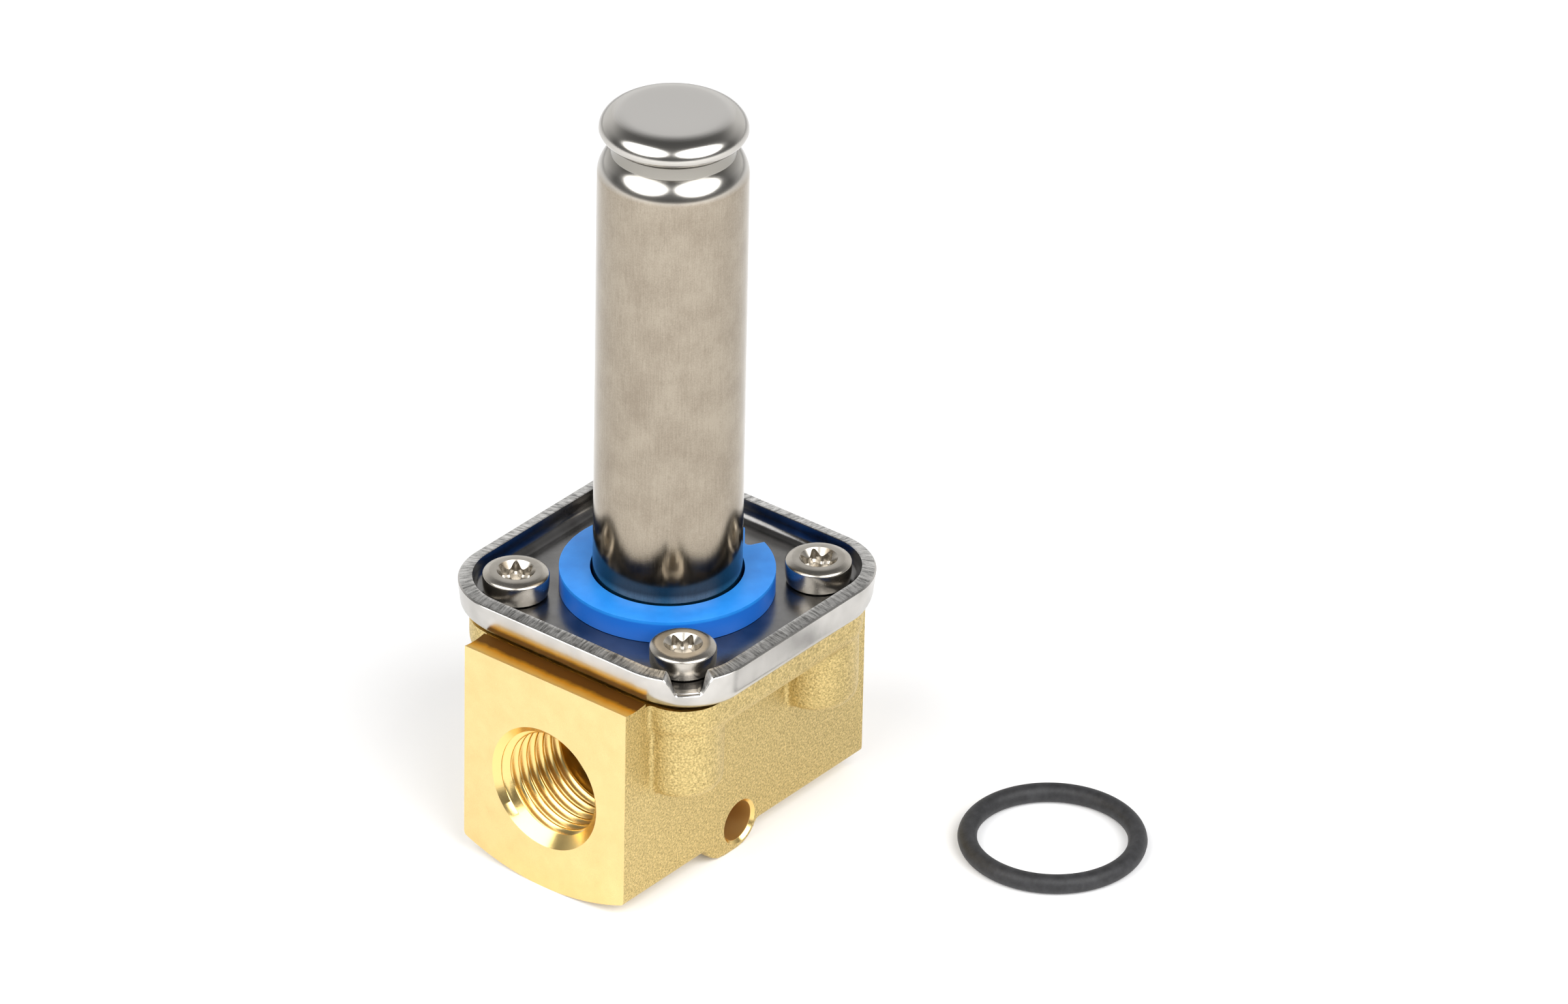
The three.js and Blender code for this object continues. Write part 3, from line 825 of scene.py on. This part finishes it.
def rim_inset(x, y):
    """How far in from the rim's outer edge a place lies."""
    straight = cover_half - cover_corner
    return cover_corner - math.hypot(max(0, abs(x) - straight), max(0, abs(y) - straight))


cover.data.materials.clear()
outside_steel = pressed_steel("pressed_steel", (0.47, 0.455, 0.43), (0.61, 0.59, 0.56))
# The dish is the same steel as the outside, coloured darker: painted shade for the dark room that its
# floor reflects.
dish_steel_painted_shade = pressed_steel("dish_steel_painted_shade", (0.17, 0.165, 0.16), (0.25, 0.245, 0.24))
for finish in (outside_steel, sheared_steel(), dish_steel_painted_shade):
    cover.data.materials.append(finish)
sheared, dished = 1, 2
for face in cover.data.polygons:
    x, y, z = face.center / mm
    inset = rim_inset(x, y)
    if 0.14 < inset < rim_wall - 0.05 and z > cover_floor + 0.3 and face.normal.z > 0.3:
        face.material_index = sheared
    elif inset > rim_wall - 0.05 and z > cover_floor - 0.05:
        face.material_index = dished
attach(cover, "housing")
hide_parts("cover_plate")


# ---- Cover screws --------------------------------------------------------------------------------
# Four M4 stainless screws with low round heads and a countersunk six-lobe socket. The heads are
# turned, with a satin top, a bright rolled edge and polished sides.

head_radius = 3.55
head_height = 2.9
socket_depth = 1.6
socket_mouth = 2.06
socket_slope = 1.1
shank_radius = 2.0
screw_length = 12.0


def lobed(angle, size):
    """The six-lobe outline at an angle, for a size of 1 at the wall of the socket."""
    return size * (1.665 + 0.275 * math.cos(6 * angle) + 0.03 * math.cos(12 * angle))


def screw_profile(seat, top, tip):
    """The turned outline: flat top, rolled edge, bulging side, undercut, thread and tip."""
    profile = [(2.4, top)]
    flat, roll_width, roll_height, pitch = 25, 1.44, 0.55, 0.7
    for step in range(10):
        angle = math.radians(flat + (90 - flat) * step / 9)
        profile.append((head_radius - roll_width * (1 - math.sin(angle)),
                        top - 0.5 + roll_height * math.cos(angle)))
    for inset, drop in ((-0.01, 1.0), (0.02, 1.6), (0.08, 2.2), (0.17, 2.6), (0.36, 2.8)):
        profile.append((head_radius - inset, top - drop))
    profile.append((shank_radius, seat))
    z = seat - 0.8
    while z > tip + 1.0:
        profile += [(shank_radius, z), (shank_radius - 0.38, z - pitch * 0.42),
                    (shank_radius - 0.38, z - pitch * 0.55)]
        z -= pitch
    return profile + [(shank_radius, tip + 0.6), (shank_radius - 0.5, tip), (0, tip)]


def screw_mesh(name, turn):
    seat = cover_floor + 0.02
    top = cover_floor + head_height
    around = 120
    rings = [[(0, top - socket_depth - 0.35)] * around]
    for size, depth in ((0.86, socket_depth), (0.97, socket_depth - 0.25), (1.0, None), (None, 0)):
        ring = []
        for step in range(around):
            reach = lobed(2 * math.pi * step / around, size) if size else socket_mouth
            sunk = depth if depth is not None else (socket_mouth - reach) * socket_slope
            ring.append((reach, top - sunk))
        rings.append(ring)
    rings += [[place] * around for place in screw_profile(seat, top, seat - screw_length)]
    points, loops = [], []
    for ring in rings:
        if ring[0][0] == 0:
            loops.append([len(points)] * around)
            points.append((0, 0, ring[0][1]))
            continue
        loops.append(list(range(len(points), len(points) + around)))
        for step, (reach, z) in enumerate(ring):
            angle = 2 * math.pi * step / around + turn
            points.append((reach * math.cos(angle), reach * math.sin(angle), z))
    faces = []
    for low, high in zip(loops, loops[1:]):
        for step in range(around):
            after = (step + 1) % around
            face = list(dict.fromkeys([low[step], low[after], high[after], high[step]]))
            if len(face) > 2:
                faces.append(face)
    return smooth(outward(shape(name, points, faces)), 22)


def screw_steel():
    """Satin on the flat top, bright on the rolled edge and the side."""
    made, tree, shader = metal("screw_steel", (0.55, 0.52, 0.47), 0.20)
    place = millimetres(tree)
    parts = put(tree, "ShaderNodeSeparateXYZ", {"Vector": place})
    fine = noise(tree, place, 6.0, 3.0)
    cloud = noise(tree, place, 0.6, 3.0)
    top = cover_floor + head_height
    flat_top = put(tree, "ShaderNodeMapRange", {
        "Value": parts.outputs["Z"], "From Min": top - 0.04, "From Max": top - 0.01,
        "To Min": 0.25, "To Max": 0.38})
    rough = add(tree, flat_top.outputs["Result"], between(tree, fine, -0.04, 0.05))
    tree.links.new(rough, shader.inputs["Roughness"])
    tone = ramp(tree, cloud, [(0.3, (0.46, 0.425, 0.37)), (0.7, (0.56, 0.525, 0.47))])
    tree.links.new(tone, shader.inputs["Base Color"])
    relief(tree, shader, fine, 0.005, 0.5)
    return made


screw_finish = screw_steel()
screw_places = {
    "front": (-screw_reach, -screw_reach, 0.2), "left": (-screw_reach, screw_reach, 0.7),
    "back": (screw_reach, screw_reach, 0.4), "right": (screw_reach, -screw_reach, 0.95)}
for place, (x, y, turn) in screw_places.items():
    screw = moved(screw_mesh(f"screw_{place}", turn), shift(x, y, 0))
    screw.data.materials.append(screw_finish)
    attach(screw, "housing")
    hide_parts(f"cover_screw_{place}")


# ---- Armature tube -------------------------------------------------------------------------------
# Thin drawn stainless tube, closed at the top. A groove rolled in below its crown holds the coil's
# clip, and the crown and groove are polished while the side keeps its drawn grain.

tube_radius = 7.9
tube_wall = 0.45
tube_foot = 25.3
tube_top = 84.85
foot_radius = 9.4
shoulder_start = 77.55
shoulder_bend = 3.45
bead_height = 82.8
groove_low = 79.6
groove_high = 82.4
# Heights over which the tube's foot is darkened as a painted dark reflection of the parts around it.
foot_reflection_low = 30.0
foot_reflection_high = 38.0


def tube_profile():
    """Outside from the foot up over the crown, then the inside back down."""
    profile = [
        (tube_radius - tube_wall, tube_foot), (foot_radius - 0.1, tube_foot),
        (foot_radius, tube_foot + 0.1), (foot_radius, tube_foot + 0.6),
        (foot_radius - 0.1, tube_foot + 0.7), (tube_radius + 0.15, tube_foot + 0.7),
        (tube_radius, tube_foot + 0.85)]
    for step in range(1, 12):
        rise = shoulder_start - tube_foot - 0.85
        profile.append((tube_radius, tube_foot + 0.85 + rise * step / 11))
    for step in range(1, 17):
        angle = math.radians(52) * step / 16
        profile.append((tube_radius - shoulder_bend * (1 - math.cos(angle)),
                        shoulder_start + shoulder_bend * math.sin(angle)))
    profile += [(6.56, 80.38), (6.54, 80.6), (6.54, 81.0), (6.55, 81.4), (6.60, 81.62),
                (6.72, 81.80), (6.95, 81.95), (7.22, 82.10), (7.46, 82.27), (7.64, 82.48)]
    for step in range(19):
        angle = math.pi / 2 * step / 18
        profile.append((5.18 + 2.6 * math.cos(angle), bead_height + 2.05 * math.sin(angle)))
    profile += [(4.4, tube_top), (3.0, tube_top - 0.01), (1.5, tube_top - 0.015),
                (0, tube_top - 0.02), (0, 84.4)]
    return profile + [
        (5.0, 84.4), (6.2, 84.0), (7.0, 83.4), (7.3, 82.8), (7.1, 82.5), (6.6, 82.25),
        (6.2, 81.9), (6.12, 81.4), (6.12, 80.6), (6.3, 79.95), (6.9, 78.9), (7.3, 77.9),
        (7.45, 77.2), (7.45, 26.0)]


tube = outward(turned("armature_tube_skin", tube_profile(), 256, ring=True))
smooth(tube, 40)


def tube_steel():
    """Drawn grain, mottled by handling; polished groove and crown; a painted dark reflection at the
    foot, painted shade in the groove and painted light on the roof.
    """
    made, tree, shader = metal("tube_steel", (0.48, 0.42, 0.35), 0.16)
    place = millimetres(tree)
    parts = put(tree, "ShaderNodeSeparateXYZ", {"Vector": place})
    drawn = noise(tree, millimetres(tree, (1, 1, 0.05)), 8.0, 3.0, 0.6)
    mottle = noise(tree, place, 0.30, 4.0, 0.55)
    speck = noise(tree, place, 6.0, 3.0)
    polished = put(tree, "ShaderNodeMapRange", {
        "Value": parts.outputs["Z"], "From Min": shoulder_start + 0.3,
        "From Max": shoulder_start + 1.3}).outputs["Result"]
    roof = put(tree, "ShaderNodeMapRange", {
        "Value": parts.outputs["Z"], "From Min": tube_top - 0.25,
        "From Max": tube_top - 0.03}).outputs["Result"]
    wear = add(tree, add(tree, mottle, 0.6, "MULTIPLY"), add(tree, add(
        tree, drawn, 0.45, "MULTIPLY"), add(tree, speck, 0.5, "MULTIPLY")))
    tone = ramp(tree, wear, [(0.60, (0.285, 0.24, 0.185)), (0.92, (0.385, 0.335, 0.265))])
    # Painted light: the flat roof is coloured paler than the polished crown.
    polished_with_painted_roof_light = put(tree, "ShaderNodeMix", {
        "Factor": roof, "A": (0.52, 0.50, 0.465, 1), "B": (0.68, 0.66, 0.63, 1)},
        data_type="RGBA").outputs["Result"]
    # Painted shade: the rolled groove is darkened.
    into_groove = put(tree, "ShaderNodeMapRange", {
        "Value": parts.outputs["Z"], "From Min": groove_low,
        "From Max": groove_low + 0.8}).outputs["Result"]
    out_of_groove = put(tree, "ShaderNodeMapRange", {
        "Value": parts.outputs["Z"], "From Min": groove_high,
        "From Max": groove_high - 0.5}).outputs["Result"]
    groove_painted_shade = put(tree, "ShaderNodeMix", {
        "Factor": add(tree, into_groove, out_of_groove, "MINIMUM"), "A": polished_with_painted_roof_light,
        "B": (0.30, 0.285, 0.255, 1)}, data_type="RGBA").outputs["Result"]
    before_foot_reflection = put(tree, "ShaderNodeMix", {
        "Factor": polished, "A": tone, "B": groove_painted_shade}, data_type="RGBA").outputs["Result"]
    # Painted reflection: the foot is darkened, most just above the blue ring, for the dark reflection
    # of the parts around it.
    up_from_foot = put(tree, "ShaderNodeMapRange", {
        "Value": parts.outputs["Z"], "From Min": foot_reflection_low,
        "From Max": foot_reflection_high}).outputs["Result"]
    painted_foot_reflection = ramp(tree, up_from_foot, [
        (0.0, 0.12), (0.10, 0.25), (0.17, 0.80), (0.36, 0.72), (0.70, 0.12), (1.0, 0.0)])
    with_foot_reflection = put(tree, "ShaderNodeMix", {
        "Factor": painted_foot_reflection, "A": before_foot_reflection, "B": (0.04, 0.035, 0.03, 1)},
        data_type="RGBA").outputs["Result"]
    tree.links.new(with_foot_reflection, shader.inputs["Base Color"])
    side = add(tree, between(tree, mottle, 0.11, 0.18), between(tree, drawn, -0.04, 0.04))
    bright = put(tree, "ShaderNodeMix", {"Factor": polished, "A": side, "B": 0.18})
    matte = put(tree, "ShaderNodeMix", {
        "Factor": roof, "A": bright.outputs["Result"], "B": 0.40})
    tree.links.new(matte.outputs["Result"], shader.inputs["Roughness"])
    weight = put(tree, "ShaderNodeMapRange", {
        "Value": polished, "To Min": 1.0, "To Max": 0.25}).outputs["Result"]
    lines = add(tree, add(tree, drawn, add(tree, speck, 0.6, "MULTIPLY")), weight, "MULTIPLY")
    relief(tree, shader, lines, 0.004, 0.7)
    return made


tube.data.materials.append(tube_steel())
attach(tube, "housing")
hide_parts("armature_tube")


# ---- Blue spacer ring ----------------------------------------------------------------------------
# A moulded nylon ring, loose round the foot of the tube, that the coil stands on. One wedge is
# left out of it. It is blue and lightly scuffed; its top is coloured paler than its sides, as painted
# light on the top and painted shade on the sides.

spacer_inner = 8.15
spacer_outer = 11.42
spacer_bottom = 27.70
spacer_top = 30.25
spacer_edge = 0.38


def spacer_mesh():
    blank = outward(turned("coil_spacer", [
        (spacer_inner, spacer_bottom), (spacer_outer, spacer_bottom),
        (spacer_outer, spacer_top), (spacer_inner, spacer_top)], 256, ring=True))
    wedge = rounded([(8.4, -3.66, 0.5), (12.6, -5.8, 0), (13.5, 0.4, 0)], steps=5)
    cut(blank, swept("wedge", wedge, spacer_bottom - 1, spacer_top + 1, "Z"))
    edge = blank.modifiers.new("edge", "BEVEL")
    edge.width = spacer_edge * mm
    edge.segments = 4
    edge.limit_method = "ANGLE"
    edge.angle_limit = math.radians(40)
    return smooth(settled(blank), 35)


def blue_nylon():
    made = bpy.data.materials.new("blue_nylon")
    made.use_nodes = True
    tree = made.node_tree
    shader = tree.nodes["Principled BSDF"]
    place = millimetres(tree)
    cloud = noise(tree, place, 0.45, 3.0)
    speck = noise(tree, place, 8.0, 3.0)
    scuff = noise(tree, millimetres(tree, (1, 3, 1)), 1.6, 5.0, 0.7)
    tone = ramp(tree, cloud, [(0.30, (0.012, 0.215, 0.70)), (0.70, (0.020, 0.265, 0.80))])
    worn = ramp(tree, scuff, [(0.66, 0.0), (0.78, 0.35)])
    faded = put(tree, "ShaderNodeMix", {
        "Factor": worn, "A": tone, "B": (0.12, 0.42, 0.95, 1)}, data_type="RGBA")
    # Painted light and shade: the top face gets the paler, scuffed blue and the sides a deeper blue.
    parts = put(tree, "ShaderNodeSeparateXYZ", {"Vector": place})
    rub_wear_and_painted_top_light = put(tree, "ShaderNodeMapRange", {
        "Value": parts.outputs["Z"], "From Min": spacer_top - 0.45,
        "From Max": spacer_top - 0.25}).outputs["Result"]
    sides = put(tree, "ShaderNodeMix", {
        "Factor": rub_wear_and_painted_top_light, "A": (0.008, 0.135, 0.58, 1), "B": faded.outputs["Result"]},
        data_type="RGBA")
    tree.links.new(sides.outputs["Result"], shader.inputs["Base Color"])
    tree.links.new(between(tree, speck, 0.28, 0.42), shader.inputs["Roughness"])
    relief(tree, shader, add(tree, speck, scuff), 0.012, 0.5)
    return made


spacer = spacer_mesh()
spacer.data.materials.clear()
spacer.data.materials.append(blue_nylon())
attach(spacer, "spacer")
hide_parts("coil_spacer_ring")


# ---- Loose coil seal -----------------------------------------------------------------------------
# A black rubber O-ring, 16 mm inside and 2.1 mm thick, lying on the table. It is moulded in two
# halves, which leaves a hair line round its widest place.

seal_section = 1.05
seal_flash = 0.02
seal_radius = 8.0 + seal_section
seal_x = 20.9
seal_y = -36.1


def seal_mesh():
    profile = []
    for step in range(48):
        angle = 2 * math.pi * step / 48
        inset = 0 if step in (0, 24) else seal_flash
        profile.append((seal_radius + (seal_section - inset) * math.cos(angle),
                        seal_section + seal_section * math.sin(angle)))
    ring = outward(turned("coil_seal", profile, 256, ring=True))
    return smooth(moved(ring, shift(seal_x, seal_y, 0)), 60)


def black_rubber():
    made = bpy.data.materials.new("black_rubber")
    made.use_nodes = True
    tree = made.node_tree
    shader = tree.nodes["Principled BSDF"]
    place = millimetres(tree)
    dust = noise(tree, place, 1.1, 5.0, 0.65)
    grain = noise(tree, place, 6.0, 3.0)
    tone = ramp(tree, dust, [(0.35, (0.012, 0.012, 0.013)), (0.72, (0.030, 0.030, 0.033))])
    tree.links.new(tone, shader.inputs["Base Color"])
    tree.links.new(between(tree, grain, 0.48, 0.66), shader.inputs["Roughness"])
    relief(tree, shader, grain, 0.010, 0.6)
    return made


rubber = black_rubber()
seal = seal_mesh()
seal.data.materials.append(rubber)
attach(seal, "loose_seal")
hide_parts("coil_seal_ring")


# ---- Fixed core and shading ring -----------------------------------------------------------------
# A turned magnetic-steel core is held in the top of the tube by the rolled groove. A copper ring
# lies in its lower face and keeps the armature from humming on alternating current.

core_face = 58.0
gap = 0.3
bore_radius = 3.0
bore_top = 62.0


def ring_piece(name, corners, steps=128):
    """A turned piece with a hole through it, from its section's corners of (r, z, radius)."""
    section = rounded(corners, steps=4)
    return smooth(outward(turned(name, section, steps, ring=True)))


def plug_piece(name, corners, steps=128):
    """A turned piece that meets its axis, from its outline's corners of (r, z, radius)."""
    outline = rounded(corners, closed=False, steps=4)
    return smooth(outward(turned(name, outline, steps)))


def turned_metal(name, colour, roughness):
    """A turned finish, with the tool's fine rings showing as soft bands."""
    made, tree, shader = metal(name, colour, roughness)
    bands = noise(tree, millimetres(tree, (0.1, 0.1, 1)), 5.0, 3.0)
    cloud = noise(tree, millimetres(tree), 0.5, 3.0)
    tree.links.new(between(tree, cloud, roughness - 0.06, roughness + 0.08),
                   shader.inputs["Roughness"])
    relief(tree, shader, bands, 0.008, 0.6)
    return made


def fit(piece, finish, body_name, node):
    piece.data.materials.clear()
    piece.data.materials.append(finish)
    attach(piece, body_name)
    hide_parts(node)


magnetic_steel = turned_metal("magnetic_steel", (0.45, 0.45, 0.46), 0.30)
core = plug_piece("fixed_core_turned", [
    (0, bore_top, 0), (bore_radius, bore_top, 0.3), (bore_radius, core_face, 0.15),
    (4.3, core_face, 0.1), (4.3, 59.9, 0.1), (5.9, 59.9, 0.1), (5.9, core_face, 0.1),
    (6.65, core_face, 0.1), (7.15, 58.5, 0.2), (7.15, 77.15, 0.5), (6.6, 78.55, 0.6),
    (5.8, 79.9, 0.5), (5.8, 81.5, 0.4), (6.2, 82.55, 0.2), (6.4, 83.0, 0.2),
    (5.4, 83.6, 0.3), (0, 83.6, 0)])
fit(core, magnetic_steel, "housing", "fixed_core")
shading = ring_piece("shading_ring_copper", [
    (4.6, 58.15, 0.12), (5.6, 58.15, 0.12), (5.6, 59.45, 0.12), (4.6, 59.45, 0.12)])
fit(shading, turned_metal("copper", (0.80, 0.42, 0.26), 0.28), "housing", "shading_ring")


# ---- Armature, its seal and guide ring -----------------------------------------------------------
# The moving iron is turned and has two flats milled down it, so that fluid can pass. A rubber
# plug is pressed into its foot and shuts the pilot orifice, and a plastic ring guides it.

armature_foot = 25.9
armature_top = 55.7
spring_bottom = 46.7

iron = plug_piece("armature_turned", [
    (0, 27.9, 0), (2.6, 27.9, 0.2), (2.6, armature_foot, 0.2), (6.1, armature_foot, 0.3),
    (7.3, 27.1, 0.3), (7.3, 28.7, 0.1), (6.45, 28.7, 0.1), (6.45, 32.3, 0.1), (7.3, 32.3, 0.1),
    (7.3, armature_top - 0.4, 0.2), (6.9, armature_top, 0.2), (bore_radius, armature_top, 0.15),
    (bore_radius, spring_bottom, 0.3), (0, spring_bottom, 0)])
cut(iron, *[
    block_tool(-0.8, 0.8, min(y, y * 1.3), max(y, y * 1.3), armature_foot - 1, armature_top + 1)
    for y in (-6.4, 6.4)])
smooth(iron)
fit(iron, magnetic_steel, "armature", "armature")
plug = plug_piece("armature_seal_rubber", [
    (0, 25.5, 0), (2.3, 25.5, 0.25), (2.3, 27.6, 0.25), (0, 27.6, 0)])
fit(plug, rubber, "armature", "armature_seal")


def white_ptfe():
    made = bpy.data.materials.new("white_ptfe")
    made.use_nodes = True
    tree = made.node_tree
    shader = tree.nodes["Principled BSDF"]
    cloud = noise(tree, millimetres(tree), 0.8, 3.0)
    tone = ramp(tree, cloud, [(0.3, (0.82, 0.81, 0.78)), (0.7, (0.88, 0.87, 0.84))])
    tree.links.new(tone, shader.inputs["Base Color"])
    shader.inputs["Roughness"].default_value = 0.5
    return made


guide = ring_piece("armature_guide_ring_moulded", [
    (6.75, 29.0, 0.15), (7.37, 29.0, 0.15), (7.37, 32.0, 0.15), (6.75, 32.0, 0.15)])
fit(guide, white_ptfe(), "armature", "armature_guide_ring")


# ---- Return spring -------------------------------------------------------------------------------
# Eight turns of bright wire between the armature's hole and the core's, built at one length and fixed
# to the housing.

spring_radius = 2.2
spring_wire = 0.35
spring_turns = 8


def spring_mesh():
    low = spring_bottom + gap + spring_wire
    high = bore_top - gap - spring_wire
    per_turn, sides = 48, 14
    steps = per_turn * spring_turns
    lead = math.atan2(high - low, 2 * math.pi * spring_radius * spring_turns)
    points, faces = [], []
    for step in range(steps + 1):
        angle = 2 * math.pi * step / per_turn
        z = low + (high - low) * step / steps
        out = Vector((math.cos(angle), math.sin(angle), 0))
        level = Vector((-math.sin(angle), math.cos(angle), 0))
        across = Vector((0, 0, 1)) * math.cos(lead) - level * math.sin(lead)
        for side in range(sides):
            turn = 2 * math.pi * side / sides
            place = out * (spring_radius + spring_wire * math.cos(turn))
            points.append(tuple(place + across * spring_wire * math.sin(turn) + Vector((0, 0, z))))
    for step in range(steps):
        for side in range(sides):
            after = (side + 1) % sides
            faces.append((step * sides + side, step * sides + after,
                          (step + 1) * sides + after, (step + 1) * sides + side))
    faces += [tuple(range(sides))[::-1], tuple(range(steps * sides, (steps + 1) * sides))]
    return smooth(outward(shape("armature_spring_wire", points, faces)), 50)


bright_wire = turned_metal("bright_wire", (0.60, 0.60, 0.60), 0.22)
spring = spring_mesh()
fit(spring, bright_wire, "housing", "armature_spring")
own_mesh(spring)


# ---- Diaphragm and its riveted centre ------------------------------------------------------------
# Moulded rubber, clamped at its rim under the cover. A hollow brass rivet holds two steel washers
# to its middle and is the pilot orifice, and a small brass bush lets the pressure bleed through.

seat_top = 20.6
diaphragm_clamp = 24.86
diaphragm_low = seat_top + gap
diaphragm_high = 22.5
bleed_x = -6.2

diaphragm = ring_piece("diaphragm_moulded", [
    (1.6, diaphragm_low, 0.15), (7.4, diaphragm_low, 0.6), (8.3, 22.1, 0.6), (9.5, 22.5, 0.3),
    (9.8, 23.55, 0.2), (12.2, 23.55, 0.3), (12.2, diaphragm_clamp, 0.3),
    (10.6, diaphragm_clamp, 0.4), (9.2, 23.55, 0.6), (8.2, 22.9, 0.4),
    (7.4, diaphragm_high, 0.3), (1.6, diaphragm_high, 0.15)], 192)
cut(diaphragm, plain_drill(1.1, diaphragm_low - 1, diaphragm_high + 1, bleed_x, 0, 32))
smooth(diaphragm)
fit(diaphragm, rubber, "housing", "diaphragm")
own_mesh(diaphragm)

upper = ring_piece("upper_washer_pressed", [
    (1.6, 22.8, 0.1), (4.4, 22.8, 0.2), (4.4, 23.6, 0.2), (1.6, 23.6, 0.1)])
fit(upper, bright_wire, "diaphragm_centre", "upper_washer")
lower = ring_piece("lower_washer_pressed", [
    (1.6, 19.6, 0.1), (2.8, 19.6, 0.2), (2.8, seat_top, 0.2), (1.6, seat_top, 0.1)])
fit(lower, bright_wire, "diaphragm_centre", "lower_washer")

nozzle_brass = turned_metal("turned_brass", brass_light, 0.20)
nozzle = ring_piece("pilot_nozzle_turned", [
    (0.7, 18.6, 0.1), (2.1, 18.6, 0.3), (2.1, 19.3, 0.15), (1.3, 19.3, 0.05), (1.3, 23.9, 0.05),
    (2.4, 23.9, 0.1), (2.4, 24.5, 0.15), (1.5, 24.5, 0.1), (1.1, 25.2, 0.15), (0.7, 25.2, 0.1)], 96)
fit(nozzle, nozzle_brass, "diaphragm_centre", "pilot_nozzle")
bush = moved(ring_piece("bleed_bush_turned", [
    (0.3, 20.6, 0.05), (0.8, 20.6, 0.1), (0.8, 22.8, 0.05), (1.2, 22.8, 0.1), (1.2, 23.2, 0.1),
    (0.3, 23.2, 0.05)], 48), shift(bleed_x, 0, 0))
fit(bush, nozzle_brass, "diaphragm_centre", "bleed_bush")
